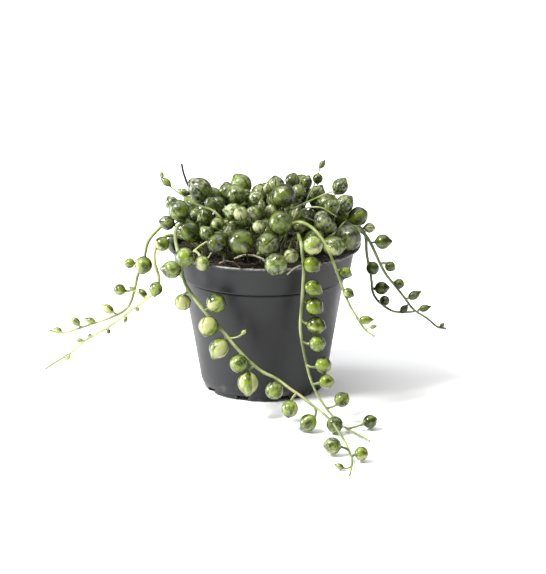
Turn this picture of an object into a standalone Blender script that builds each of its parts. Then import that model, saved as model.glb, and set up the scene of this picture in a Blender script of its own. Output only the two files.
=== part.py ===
"""Potted string of pearls: a trailing succulent in a small nursery pot.

The origin is on the pot's axis in the plane that the pot stands on. +Z is up and -Y is the
side with the two long strands. Lengths below are in millimetres and become metres in the mesh.
"""

import math

import bmesh
import bpy
import numpy as np
from mathutils import Vector

MM = 0.001

# ---- driving dimensions, in millimetres ----
POT_HEIGHT = 49.2
RIM_RADIUS = 32.5
RIM_LIP = 0.6
COLLAR_TOP_RADIUS = 30.3
COLLAR_FOOT_RADIUS = 28.9
COLLAR_FOOT_Z = 39.0
BODY_TOP_RADIUS = 27.1
BODY_FOOT_RADIUS = 21.1
BODY_FOOT_Z = 3.0
WALL = 0.8
FOOT_RADIUS = 19.9
FOOT_RING_WIDTH = 2.4
UNDERSIDE_Z = 1.5
FLOOR_TOP_Z = 2.4
PAD_RADIUS = 5.0
FOOT_NOTCHES = 9
NOTCH_WIDTH = 4.0
DRAIN_HOLES = 6
DRAIN_HOLE_RADIUS = 2.0
DRAIN_CIRCLE_RADIUS = 11.5
SOIL_TOP_Z = 46.3
SOIL_BUMP = 0.4
STEM_RADIUS = 0.75
SHOOT_RADIUS = 0.5
PETIOLE_RADIUS = 0.45
GAP = 0.35
MOUND_CENTRE = (1.0, 2.0, 46.0)
MOUND_RADII = (31.0, 28.0, 22.0)
POT_STEPS = 32
SOIL_STEPS = 24

# ---- trailing strands: the stem's route, then its pearls as x, y, z and diameter ----
STRANDS = {
    "front_right_strand": (
        [(8, -13, 48.5), (10.5, -20, 57.5), (12, -29, 58), (12.5, -33.5, 55.5), (13, -34.5, 49.5),
         (12.5, -34, 39), (12, -34, 30), (13, -34.5, 22.5), (14.5, -35.5, 16), (16, -37.5, 11.5),
         (18.5, -41, 7.5), (22.5, -44.5, 3), (26.5, -50, 1), (34, -63.5, 1)],
        [(16, -36.5, 58.5, 6.5), (15.5, -35, 51.5, 5.5), (16, -34.5, 43.5, 5.5), (16.5, -34.5, 37, 6),
         (17, -35, 31, 6), (17.5, -35.5, 25, 5.5), (19.5, -35.5, 17.5, 5.5), (20.5, -37.5, 12.5, 5),
         (25.5, -42.5, 8, 5), (34.5, -48.5, 2.5, 4.5)],
    ),
    "front_left_strand": (
        [(-17, -3, 48.5), (-23, -4, 54.5), (-27.5, -8, 57.5), (-29, -13, 56.5), (-28.8, -17, 54),
         (-28, -20, 51.5), (-27, -22.5, 47), (-26, -24.5, 43), (-24, -26, 39.5),
         (-18.5, -29, 33), (-13.5, -31, 28), (-9.5, -33, 23.5), (-5, -36, 19.5),
         (-0.5, -37.5, 16), (4, -40, 14.5), (8.5, -43, 12), (12, -46, 10.5), (15.5, -49, 8.5),
         (20, -52.5, 6), (22.5, -55, 4), (25, -60, 1.5), (26.5, -68, 1), (28, -82.5, 1),
         (27, -96.5, 1)],
        [(-15.5, -30, 37, 6.5), (-26.5, -24, 35.5, 5.5), (-18, -31, 29.5, 6.5), (-14.5, -33, 22.5, 6.5),
         (-8, -37, 18.5, 6), (-5, -38.5, 12.5, 7), (3.5, -42, 11, 6), (8.5, -49, 7, 5.5),
         (14.5, -51, 3, 5.5), (23, -53, 3, 5.5), (22, -74, 3, 5.5), (31, -80, 2.5, 4.5),
         (24, -88, 1, 2), (-6.5, -33, 28, 1.5)],
    ),
    "slim_right_strand": (
        [(2, -11, 48.5), (8.5, -14.5, 58.5), (12, -20, 61.5), (16, -27, 61.5), (20, -31, 57.5),
         (23, -34, 51), (26, -36, 43), (28, -37.5, 38.5), (30.5, -39, 34.5), (33, -40, 31),
         (36, -41, 29)],
        [(22.5, -31, 55.5, 4), (26.5, -34, 48.5, 4), (27.5, -37, 42.5, 3.5), (33, -39, 34, 3),
         (35.5, -40, 32, 1.5)],
    ),
    "outer_right_strand": (
        [(17, -3, 48.5), (28, -6, 56), (33, -6, 54), (35.5, -6, 50.5), (38, -6, 45), (40.5, -6, 40),
         (44, -6, 35.5), (47, -6, 31.5), (50, -6, 27.5), (54.5, -6, 24.5), (58, -6, 21.5),
         (61, -6, 21)],
        [(39.5, -6, 51, 5), (42, -6, 42.5, 3.5), (45, -6, 36.5, 3.5), (50, -6, 32.5, 3),
         (53.5, -6, 28, 2.5), (59.5, -6, 22, 1.5)],
    ),
    "back_right_strand": (
        [(20, 0.5, 48.5), (28, 1.5, 54), (33.5, 2.5, 52), (34.5, 3, 44), (36, 4, 36), (36.5, 4, 31),
         (38, 4, 28), (40.5, 3, 26), (43.5, 2, 24.5), (47.5, 1, 24.5), (50.5, 0, 25)],
        [(36.5, 4, 39, 4.5), (39.5, 4, 32, 4.5), (40.5, 1, 28.5, 3.5), (47, 1, 25.5, 2.5)],
    ),
    "upper_left_strand": (
        [(-18, 3, 48.5), (-25, 3, 55.5), (-31, 1, 57), (-35, -1, 54), (-38.5, -3, 50), (-40, -4, 43.5),
         (-42, -3, 38.5), (-43, -3, 34), (-45, -3, 28), (-49, -2, 24.5), (-56, -1, 21.5),
         (-61, 0, 19.5), (-67.5, 0, 17.5), (-72, 0, 18.5)],
        [(-40, -6, 43, 6), (-44.5, -4, 43, 3.5), (-48, -3, 33.5, 4), (-52, -2, 26.5, 3),
         (-58, -1, 22, 2.5), (-63, 0, 21.5, 2.5), (-69, 0, 18.5, 2)],
    ),
    "lower_left_strand": (
        [(-20, -7, 48.5), (-26, -7.5, 52.5), (-32, -9.5, 54), (-35.5, -13, 51), (-36, -15, 47),
         (-34.5, -16, 41), (-36, -15, 36.5), (-40, -12, 32), (-44.5, -9, 28), (-52, -3, 20.5),
         (-60, 3, 14), (-65.5, 8, 8), (-71.5, 12, 3), (-74.5, 11.5, 1)],
        [(-33.5, -14, 52.5, 5), (-35.5, -17, 38, 4.5), (-40, -12, 35, 2.5), (-43.5, -12, 36.5, 1.5),
         (-66.5, 8, 6.5, 2), (-62, 3, 14, 1.5), (-58.5, 3, 15.5, 1.5), (-52, -3, 19, 1.5),
         (-46, -9, 25, 1.5), (-42, -9, 28.5, 1.5)],
    ),
    "upper_left_shoot": (
        [(-7, -8, 48.5), (-12, -13, 58), (-16, -12, 63), (-19.5, -12, 64.5), (-24, -12, 66.5),
         (-29, -11, 70), (-32, -10, 72), (-33.5, -10, 74.5)],
        [(-32, -10, 72.5, 2.5), (-33.5, -10, 75, 1.5)],
    ),
    "left_rim_shoot": (
        [(-13, -13, 48.5), (-17, -18, 54.5), (-21.5, -24, 54), (-25.5, -25.5, 50), (-28.5, -26, 46)],
        [(-25.5, -30, 52.5, 6.5), (-30, -27, 47.5, 6), (-20, -29.5, 50.5, 5)],
    ),
    "top_right_runner": (
        [(3.3, -8, 48.5), (6.5, -9, 57), (8, -9, 62), (11, -8, 63.5), (17.5, -4, 65.5), (21, 0, 66),
         (23.5, 4.5, 65.5)],
        [],
    ),
    "right_runner": (
        [(6, -4, 48.5), (9, -7, 57), (13, -9.5, 63), (17.5, -10, 64), (20.5, -9.5, 63), (24, -7.5, 60)],
        [],
    ),
    "dry_twig": (
        [(-14, 10, 48), (-19, 14, 57), (-23.5, 15, 62), (-25.5, 15, 65), (-27, 14.5, 69.5),
         (-27.5, 14, 72.5)],
        [],
    ),
}

# ---- mound sprigs: each one's pearls from the lowest, as x, y, z and diameter ----
SPRIGS = {
    "top_left_sprig": [(-21.5, 9.5, 64.5, 8), (-26.5, 9, 64, 2.5)],
    "top_left_small_sprig": [(-15, -5, 64, 4.5), (-17.5, -8.5, 65, 4)],
    "left_edge_sprig": [(-32, -4, 57, 5), (-28, -6, 61.5, 7), (-30.5, 2, 62, 4.5)],
    "left_sprig": [(-24.3, -12, 56, 7), (-22.5, 0, 59, 4)],
    "left_inner_sprig": [(-18.5, -15, 56.5, 5), (-19.5, -9, 60.5, 5)],
    "front_left_sprig": [(-15.5, -22.5, 55, 7)],
    "pale_left_sprig": [(-14.5, -14, 60.5, 4.5), (-10, -12.5, 63, 6)],
    "front_sprig": [(-7.5, -25, 56.5, 8.5), (-11, -20, 58, 4.5)],
    "top_sprig": [(-6, 2.5, 64.5, 4.5), (-9, -4, 66.5, 6.5)],
    "striped_sprig": [(-1.5, -21.5, 60.5, 4.5), (-7.5, -18, 64, 5)],
    "pale_top_sprig": [(-3, -14, 63, 5.5), (-1, -14.5, 65.5, 2.5), (-2.5, -7.5, 66.5, 5)],
    "upright_bud_sprig": [(3, -12, 64, 4), (1, -3, 68.5, 2.5)],
    "front_centre_sprig": [(1.5, -26.5, 56, 8)],
    "large_centre_sprig": [(5.5, -23, 62, 8)],
    "large_top_sprig": [(6, -11, 67.5, 8), (10, 11, 67.5, 5)],
    "top_right_sprig": [(11.5, 4, 65.5, 5), (14.5, 11.5, 67, 4)],
    "tall_bud_sprig": [(17.5, 11, 68, 3.5), (19.5, 13, 72.5, 2)],
    "right_top_sprig": [(27.5, 8, 60.5, 6), (26, 9.5, 64.5, 5.5)],
    "right_pale_sprig": [(22.5, -4, 62.5, 5.5)],
    "right_edge_sprig": [(31.5, 8, 56, 6.5), (34.5, 7.5, 53, 3.5)],
    "large_right_sprig": [(27.5, -8, 54.5, 9)],
    "right_front_sprig": [(19.5, -15.5, 60.5, 5.5)],
    "right_low_sprig": [(23, -18.5, 53, 7)],
    "rim_sprig": [(9, -31.5, 53.5, 5), (4, -36.5, 52, 7.5)],
}
BACK_SPRIGS = 10
BACK_PEARLS = 3
INNER_SPRIGS = 10
INNER_PEARLS = 3
YIELD = 15.0  # how much more readily those two groups make way than the sprigs placed by hand

# The outside of the filled pot as radius and height, from the soil's middle to the underside.
OUTSIDE = [(0, SOIL_TOP_Z + SOIL_BUMP), (COLLAR_TOP_RADIUS - WALL - 0.4, SOIL_TOP_Z + SOIL_BUMP),
           (COLLAR_TOP_RADIUS - WALL, POT_HEIGHT - 1.7), (31.5, POT_HEIGHT),
           (RIM_RADIUS, POT_HEIGHT), (RIM_RADIUS, POT_HEIGHT - RIM_LIP),
           (COLLAR_TOP_RADIUS + 0.4, POT_HEIGHT - 1.4), (COLLAR_TOP_RADIUS, POT_HEIGHT - 2.1),
           (COLLAR_FOOT_RADIUS, COLLAR_FOOT_Z), (BODY_TOP_RADIUS, COLLAR_FOOT_Z),
           (BODY_FOOT_RADIUS, BODY_FOOT_Z), (BODY_FOOT_RADIUS - 0.6, UNDERSIDE_Z),
           (FOOT_RADIUS, UNDERSIDE_Z), (FOOT_RADIUS, 0), (0, 0)]


def smooth_route(points, step):
    """Return points about one step apart on a Catmull-Rom curve through the given points."""
    knots = [np.array(p, float) for p in points]
    knots = [2 * knots[0] - knots[1], *knots, 2 * knots[-1] - knots[-2]]
    route = []
    for a, b, c, d in zip(knots, knots[1:], knots[2:], knots[3:]):
        pieces = max(1, round(float(np.linalg.norm(c - b)) / step))
        for i in range(pieces):
            t = i / pieces
            route.append(0.5 * (2 * b + (c - a) * t + (2 * a - 5 * b + 4 * c - d) * t**2
                                + (3 * b - a - 3 * c + d) * t**3))
    route.append(knots[-2])
    return np.array(route)


def keep_clear(point, radius):
    """Return the point moved so that a ball of this radius clears the pot, its soil and the floor."""
    x, y, z = point
    z = max(z, radius)
    rho = math.hypot(x, y)
    best = None
    inside = False
    for (r0, z0), (r1, z1) in zip(OUTSIDE, OUTSIDE[1:]):
        length = (r1 - r0) ** 2 + (z1 - z0) ** 2
        t = min(1.0, max(0.0, ((rho - r0) * (r1 - r0) + (z - z0) * (z1 - z0)) / length))
        near = (r0 + t * (r1 - r0), z0 + t * (z1 - z0))
        away = math.hypot(rho - near[0], z - near[1])
        if best is None or away < best[0]:
            best = (away, near)
        if (z0 > z) != (z1 > z) and rho < r0 + (z - z0) / (z1 - z0) * (r1 - r0):
            inside = not inside
    away, near = best
    need = radius + GAP
    if not inside and away >= need:
        return np.array([x, y, z])
    sign = -1.0 if inside else 1.0
    out = ((rho - near[0]) * sign, (z - near[1]) * sign)
    size = math.hypot(*out) or 1.0
    new_rho = near[0] + out[0] / size * need
    scale = new_rho / rho if rho else 1.0
    return np.array([x * scale, y * scale, max(near[1] + out[1] / size * need, radius)])


def mound_point(azimuth, height, scale):
    """Return a point on the mound at this azimuth in degrees and this share of its height."""
    angle = math.radians(azimuth)
    ring = math.sqrt(1 - height**2) * scale
    return (MOUND_CENTRE[0] + MOUND_RADII[0] * ring * math.cos(angle),
            MOUND_CENTRE[1] + MOUND_RADII[1] * ring * math.sin(angle),
            MOUND_CENTRE[2] + MOUND_RADII[2] * height * scale)


def back_and_inner_sprigs():
    """Return the sprigs of the far side and of the mound's inside, which follow a rule."""
    rng = np.random.default_rng(7)
    sprigs = {}
    for i in range(BACK_SPRIGS):
        azimuth = 30 + 120 * i / (BACK_SPRIGS - 1)
        pearls = []
        for k in range(BACK_PEARLS):
            place = mound_point(azimuth + 9 * (k % 2) + rng.uniform(-3, 3), 0.31 + 0.16 * k, 1.0)
            pearls.append((*place, round(rng.uniform(4.8, 7.6), 1)))
        sprigs[f"back_sprig_{i + 1}"] = pearls
    for i in range(INNER_SPRIGS):
        pearls = []
        for k in range(INNER_PEARLS):
            place = mound_point(80 + 137.5 * i + 14 * k, 0.38 + 0.24 * k, 0.56 + 0.1 * (i % 3))
            pearls.append((*place, round(rng.uniform(4.6, 6.4), 1)))
        sprigs[f"inner_sprig_{i + 1}"] = pearls
    return sprigs


def sprig_route(centres):
    """Return a sprig's stem route: from the soil under the mound through its pearls' centres."""
    x, y, _ = centres[0]
    foot = (0.62 * x, 0.62 * y, SOIL_TOP_Z + SOIL_BUMP + GAP + 0.1)
    if math.hypot(x, y) > 26:
        knee = (0.84 * x, 0.84 * y, POT_HEIGHT + 4.5)
    else:
        knee = (0.75 * x, 0.75 * y, 0.4 * foot[2] + 0.6 * max(centres[0][2] - 1.5, foot[2] + 1))
    return np.array([foot, knee, *centres])


def straight_samples(points, step):
    """Return points about one step apart along straight runs between the given points."""
    samples = []
    for a, b in zip(points, points[1:]):
        a = np.array(a, float)
        b = np.array(b, float)
        pieces = max(1, math.ceil(float(np.linalg.norm(b - a)) / step))
        samples += [a + (b - a) * i / pieces for i in range(pieces)]
    return np.array([*samples, np.array(points[-1], float)])


def settle(strands, sprigs, rounds=300):
    """Push pearls apart, and off stems, pot and floor, until a small gap is between them all.

    Args:
        strands: Name -> (route, pearls) of the trailing strands.
        sprigs: Name -> pearls of the mound's sprigs.
        rounds: How many times every pearl is pushed.

    Returns:
        Name -> list of (centre, diameter).
    """
    names = [*strands, *sprigs]
    pearls = {n: strands[n][1] if n in strands else sprigs[n] for n in names}
    centres = np.array([p[:3] for n in names for p in pearls[n]], float)
    radii = np.array([p[3] / 2 for n in names for p in pearls[n]])
    owner = np.array([i for i, n in enumerate(names) for _ in pearls[n]])
    slices = {n: np.flatnonzero(owner == i) for i, n in enumerate(names)}
    fixed = {n: clear_route(strands[n][0], stem_radius(n), 1.5) for n in strands}
    give = np.array([YIELD if names[i].startswith(("back_", "inner_")) else 1.0 for i in owner])
    share = give[:, None] / (give[:, None] + give[None])
    for _ in range(rounds):
        offset = centres[:, None] - centres[None]
        away = np.linalg.norm(offset, axis=2) + 1e-9
        short = np.maximum(radii[:, None] + radii[None] + GAP - away, 0)
        np.fill_diagonal(short, 0)
        centres += (offset / away[..., None] * (short * share)[..., None]).sum(axis=1)
        for i, name in enumerate(names):
            if name in fixed:
                samples = fixed[name]
            else:
                samples = straight_samples(sprig_route(centres[slices[name]]), 1.5)
            others = owner != i
            offset = centres[:, None] - samples[None]
            away = np.linalg.norm(offset, axis=2) + 1e-9
            nearest = away.argmin(axis=1)
            rows = np.arange(len(centres))
            short = np.maximum(radii + stem_radius(name) + GAP + 0.15 - away[rows, nearest], 0)
            push = offset[rows, nearest] / away[rows, nearest][:, None] * short[:, None]
            centres[others] += push[others]
        centres = np.array([keep_clear(c, r) for c, r in zip(centres, radii)])
    return {n: [(centres[k], 2 * radii[k]) for k in slices[n]] for n in names}


def stem_radius(name):
    """Return the stem radius of a strand: shoots and short sprigs are thinner."""
    return STEM_RADIUS if name.endswith("strand") else SHOOT_RADIUS


def clear_route(route, radius, step):
    """Return a smooth route's points, each moved clear of the pot, its soil and the floor."""
    return np.array([keep_clear(p, radius) for p in smooth_route(route, step)])


# ---- Blender ----

def clear_scene():
    """Remove the scene's objects."""
    for obj in list(bpy.data.objects):
        bpy.data.objects.remove(obj)


def new_collection(name):
    """Add a collection to the scene."""
    collection = bpy.data.collections.new(name)
    bpy.context.scene.collection.children.link(collection)
    return collection


def add_object(name, mesh, collection):
    """Add a mesh object to a collection."""
    obj = bpy.data.objects.new(name, mesh)
    collection.objects.link(obj)
    return obj


def add_helper(name, mesh, collection):
    """Add an object that only a Boolean uses."""
    obj = add_object(name, mesh, collection)
    obj.hide_render = True
    obj.display_type = "WIRE"
    return obj


def set_material(obj, colour, roughness):
    """Give an object its own plain material."""
    material = bpy.data.materials.new(obj.name + "_material")
    material.use_nodes = True
    shader = material.node_tree.nodes["Principled BSDF"]
    shader.inputs["Base Color"].default_value = (*colour, 1)
    shader.inputs["Roughness"].default_value = roughness
    obj.data.materials.clear()
    obj.data.materials.append(material)


def turned(name, profile, steps, collection):
    """Make a turned solid from a profile of radius and height that runs down its outer side."""
    mesh = bpy.data.meshes.new(name)
    bm = bmesh.new()
    points = [bm.verts.new((r * MM, 0, z * MM)) for r, z in profile]
    for a, b in zip(points, points[1:]):
        bm.edges.new((a, b))
    bm.to_mesh(mesh)
    bm.free()
    obj = add_object(name, mesh, collection)
    screw = obj.modifiers.new("Screw", "SCREW")
    screw.steps = steps
    screw.render_steps = steps
    screw.use_merge_vertices = True
    screw.merge_threshold = 1e-5
    return obj


def baked(obj):
    """Replace an object's mesh by its evaluated one, and drop its modifiers."""
    bpy.context.view_layer.update()
    depsgraph = bpy.context.evaluated_depsgraph_get()
    mesh = bpy.data.meshes.new_from_object(obj.evaluated_get(depsgraph))
    obj.modifiers.clear()
    obj.data = mesh
    return obj


def boolean(obj, other, operation, use_self=False):
    """Cut or join an object with another one."""
    modifier = obj.modifiers.new(operation.title(), "BOOLEAN")
    modifier.operation = operation
    modifier.solver = "EXACT"
    modifier.use_self = use_self
    modifier.object = other


def make_pot(parts, helpers):
    """Make the thin nursery pot with its lip, collar, feet and drain holes."""
    pot = turned("nursery_pot", [
        (0, FLOOR_TOP_Z), (FOOT_RADIUS - WALL, FLOOR_TOP_Z), (BODY_FOOT_RADIUS - WALL, BODY_FOOT_Z + WALL),
        (BODY_TOP_RADIUS - WALL, COLLAR_FOOT_Z + 0.5), (COLLAR_FOOT_RADIUS - WALL, COLLAR_FOOT_Z + 1.0),
        (COLLAR_TOP_RADIUS - WALL, POT_HEIGHT - 1.7), (31.5, POT_HEIGHT),
        (RIM_RADIUS, POT_HEIGHT), (RIM_RADIUS, POT_HEIGHT - RIM_LIP),
        (COLLAR_TOP_RADIUS + 0.4, POT_HEIGHT - 1.4), (COLLAR_TOP_RADIUS, POT_HEIGHT - 2.1),
        (COLLAR_FOOT_RADIUS, COLLAR_FOOT_Z + 0.4), (COLLAR_FOOT_RADIUS - 0.4, COLLAR_FOOT_Z),
        (BODY_TOP_RADIUS, COLLAR_FOOT_Z - 0.1), (BODY_FOOT_RADIUS, BODY_FOOT_Z),
        (BODY_FOOT_RADIUS - 0.6, UNDERSIDE_Z + 0.2), (FOOT_RADIUS, UNDERSIDE_Z), (FOOT_RADIUS, 0),
        (FOOT_RADIUS - FOOT_RING_WIDTH, 0), (FOOT_RADIUS - FOOT_RING_WIDTH - 0.3, UNDERSIDE_Z),
        (PAD_RADIUS + 0.3, UNDERSIDE_Z), (PAD_RADIUS, 0), (0, 0),
    ], POT_STEPS, parts)
    bm = bmesh.new()
    for i in range(DRAIN_HOLES):
        angle = 2 * math.pi * (i + 0.37) / DRAIN_HOLES
        made = bmesh.ops.create_cone(bm, cap_ends=True, segments=10, radius1=DRAIN_HOLE_RADIUS * MM,
                                     radius2=DRAIN_HOLE_RADIUS * MM, depth=6 * MM)
        spot = Vector((math.cos(angle), math.sin(angle), 0)) * DRAIN_CIRCLE_RADIUS * MM
        bmesh.ops.translate(bm, verts=made["verts"], vec=spot + Vector((0, 0, FLOOR_TOP_Z * MM)))
    holes = bpy.data.meshes.new("drain_holes")
    bm.to_mesh(holes)
    bm.free()
    bm = bmesh.new()
    for i in range(FOOT_NOTCHES):
        made = bmesh.ops.create_cube(bm, size=1)
        bmesh.ops.scale(bm, verts=made["verts"], vec=Vector((8, NOTCH_WIDTH, 2 * UNDERSIDE_Z - 0.4)) * MM)
        bmesh.ops.translate(bm, verts=made["verts"], vec=Vector((FOOT_RADIUS, 0, 0)) * MM)
        turn = 2 * math.pi * (i + 0.23) / FOOT_NOTCHES
        rotation = Vector((1, 0, 0)).rotation_difference(Vector((math.cos(turn), math.sin(turn), 0)))
        bmesh.ops.rotate(bm, verts=made["verts"], matrix=rotation.to_matrix())
    notches = bpy.data.meshes.new("foot_notches")
    bm.to_mesh(notches)
    bm.free()
    boolean(pot, add_helper("drain_holes", holes, helpers), "DIFFERENCE")
    boolean(pot, add_helper("foot_notches", notches, helpers), "DIFFERENCE")
    set_material(pot, (0.042, 0.044, 0.047), 0.5)


def make_soil(parts):
    """Make the soil: it follows the pot's inside and has a gently uneven top."""
    gap = WALL + 0.4
    soil = turned("potting_soil", [
        (0, SOIL_TOP_Z), (7, SOIL_TOP_Z), (14, SOIL_TOP_Z), (20, SOIL_TOP_Z), (25, SOIL_TOP_Z),
        (COLLAR_TOP_RADIUS - gap - 0.3, SOIL_TOP_Z), (COLLAR_FOOT_RADIUS - gap, COLLAR_FOOT_Z + 1.8),
        (BODY_TOP_RADIUS - gap - 0.1, COLLAR_FOOT_Z + 0.8), (BODY_FOOT_RADIUS - gap, BODY_FOOT_Z + 1.3),
        (FOOT_RADIUS - gap - 0.4, FLOOR_TOP_Z + 0.45), (0, FLOOR_TOP_Z + GAP),
    ], SOIL_STEPS, parts)
    baked(soil)
    for vertex in soil.data.vertices:
        x, y, z = vertex.co / MM
        if abs(z - SOIL_TOP_Z) < 0.01 and math.hypot(x, y) < 27:
            bump = math.sin(0.9 * x + 1.3) * math.cos(0.7 * y - 0.4) + 0.5 * math.sin(1.7 * x - y)
            vertex.co.z += SOIL_BUMP * MM * bump / 1.5
    set_material(soil, (0.022, 0.016, 0.011), 0.95)


def tube(name, points, radius, collection):
    """Make a round tube with filled caps along points in millimetres."""
    curve = bpy.data.curves.new(name, "CURVE")
    curve.dimensions = "3D"
    curve.bevel_depth = radius * MM
    curve.bevel_resolution = 1 if radius > SHOOT_RADIUS else 0
    curve.use_fill_caps = True
    spline = curve.splines.new("POLY")
    spline.points.add(len(points) - 1)
    for spot, point in zip(spline.points, points):
        spot.co = (*(Vector(point) * MM), 1)
    guide = bpy.data.objects.new(name + "_curve", curve)
    collection.objects.link(guide)
    bpy.context.view_layer.update()
    depsgraph = bpy.context.evaluated_depsgraph_get()
    mesh = bpy.data.meshes.new_from_object(guide.evaluated_get(depsgraph))
    bm = bmesh.new()
    bm.from_mesh(mesh)
    bmesh.ops.remove_doubles(bm, verts=bm.verts, dist=1e-6)
    bmesh.ops.recalc_face_normals(bm, faces=bm.faces)
    bm.to_mesh(mesh)
    bm.free()
    obj = add_object(name, mesh, collection)
    obj.matrix_world = guide.matrix_world
    bpy.data.objects.remove(guide)
    return obj


def add_pearl(bm, centre, diameter, outward):
    """Add a pearl to a bmesh, with its poles along the way it points."""
    sides, rings = (7, 4) if diameter > 3.2 else (5, 4)
    made = bmesh.ops.create_uvsphere(bm, u_segments=sides, v_segments=rings,
                                     radius=diameter / 2 * MM)
    turn = Vector((0, 0, 1)).rotation_difference(Vector(outward))
    bmesh.ops.rotate(bm, verts=made["verts"], matrix=turn.to_matrix())
    bmesh.ops.translate(bm, verts=made["verts"], vec=Vector(centre) * MM)


def add_petiole(bm, start, end):
    """Add a leaf stalk to a bmesh, from the stem's middle to the pearl's middle."""
    start = Vector(start) * MM
    end = Vector(end) * MM
    along = end - start
    made = bmesh.ops.create_cone(bm, cap_ends=True, segments=4, radius1=PETIOLE_RADIUS * MM,
                                 radius2=PETIOLE_RADIUS * MM, depth=along.length)
    turn = Vector((0, 0, 1)).rotation_difference(along)
    bmesh.ops.rotate(bm, verts=made["verts"], matrix=turn.to_matrix())
    bmesh.ops.translate(bm, verts=made["verts"], vec=(start + end) / 2)


def make_strand(name, route, pearls, parts, helpers):
    """Make one strand: its stem, its leaf stalks and its pearls, joined into one solid."""
    stem = tube(name, route, stem_radius(name), parts)
    beads = bmesh.new()
    stalks = bmesh.new()
    for centre, diameter in pearls:
        away = np.linalg.norm(route - centre, axis=1)
        root = route[away.argmin()]
        outward = centre - root if away.min() > 0.3 else np.array([0, 0, 1.0])
        add_pearl(beads, centre, diameter, outward)
        if away.min() > 0.4 * diameter:
            add_petiole(stalks, root, centre)
    for label, bm in (("pearls", beads), ("stalks", stalks)):
        if bm.verts:
            mesh = bpy.data.meshes.new(f"{name}_{label}")
            bm.to_mesh(mesh)
            boolean(stem, add_helper(f"{name}_{label}", mesh, helpers), "UNION", label == "stalks")
        bm.free()
    set_material(stem, (0.16, 0.27, 0.07), 0.4)


def main():
    """Make the pot, the soil and every strand of the plant."""
    clear_scene()
    parts = new_collection("potted_string_of_pearls")
    helpers = new_collection("cutters")
    make_pot(parts, helpers)
    make_soil(parts)
    sprigs = {**SPRIGS, **back_and_inner_sprigs()}
    pearls = settle(STRANDS, sprigs)
    for name, (points, _) in STRANDS.items():
        route = clear_route(points, stem_radius(name), 4.0)
        make_strand(name, route, pearls[name], parts, helpers)
    for name in sprigs:
        make_strand(name, sprig_route([c for c, _ in pearls[name]]), pearls[name], parts, helpers)
    set_material(bpy.data.objects["dry_twig"], (0.08, 0.06, 0.045), 0.8)


main()
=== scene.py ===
"""Looks of a potted string of pearls: a trailing succulent in a small nursery pot.

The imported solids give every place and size. This script models the fine surface around
them: the turned pot, the crumbly soil, the smooth stems and the pointed, slit leaves.
Lengths in the layout are in millimetres, and meshes are in metres.
"""

import logging
import math
from collections.abc import Callable
from dataclasses import dataclass, field
from enum import Enum

import bpy
import numpy as np
from mathutils import Matrix, Vector, noise


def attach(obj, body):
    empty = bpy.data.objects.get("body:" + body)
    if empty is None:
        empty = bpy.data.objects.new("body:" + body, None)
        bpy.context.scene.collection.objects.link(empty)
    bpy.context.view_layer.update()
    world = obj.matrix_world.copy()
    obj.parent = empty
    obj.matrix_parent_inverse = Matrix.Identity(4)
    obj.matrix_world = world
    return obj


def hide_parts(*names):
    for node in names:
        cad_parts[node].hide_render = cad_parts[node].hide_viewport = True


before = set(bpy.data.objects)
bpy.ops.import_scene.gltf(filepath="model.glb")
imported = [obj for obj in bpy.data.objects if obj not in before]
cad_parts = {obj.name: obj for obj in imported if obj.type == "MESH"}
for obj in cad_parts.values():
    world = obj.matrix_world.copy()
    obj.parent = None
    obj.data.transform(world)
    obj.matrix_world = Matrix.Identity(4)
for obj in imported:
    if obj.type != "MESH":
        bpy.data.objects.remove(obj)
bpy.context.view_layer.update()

LOG = logging.getLogger("string_of_pearls")
MM = 0.001
BODY = "root"

# ---- sizes shared with the solids, in millimetres ----
POT_HEIGHT = 49.2
RIM_RADIUS = 32.5
RIM_LIP = 0.6
COLLAR_TOP_RADIUS = 30.3
COLLAR_FOOT_RADIUS = 28.9
COLLAR_FOOT_Z = 39.0
BODY_TOP_RADIUS = 27.1
BODY_FOOT_RADIUS = 21.1
BODY_FOOT_Z = 3.0
FOOT_RADIUS = 19.9
UNDERSIDE_Z = 1.5
FLOOR_TOP_Z = 2.4
WALL = 0.8
SOIL_TOP_Z = 46.3
SOIL_BUMP = 0.4
STEM_RADIUS = 0.75
SHOOT_RADIUS = 0.5
GAP = 0.35
STEM_GAP = 0.15  # the extra air that a leaf keeps from a stem
SAMPLE_STEP = 1.5
SMOOTH_STEP = 1.6
WELD = 1e-6  # in metres, the distance under which points are merged
TINY = 1e-9  # keeps a distance of nothing from dividing by nothing
MOUND_CENTRE = (1.0, 2.0, 46.0)
MOUND_RADII = (31.0, 28.0, 22.0)

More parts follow.
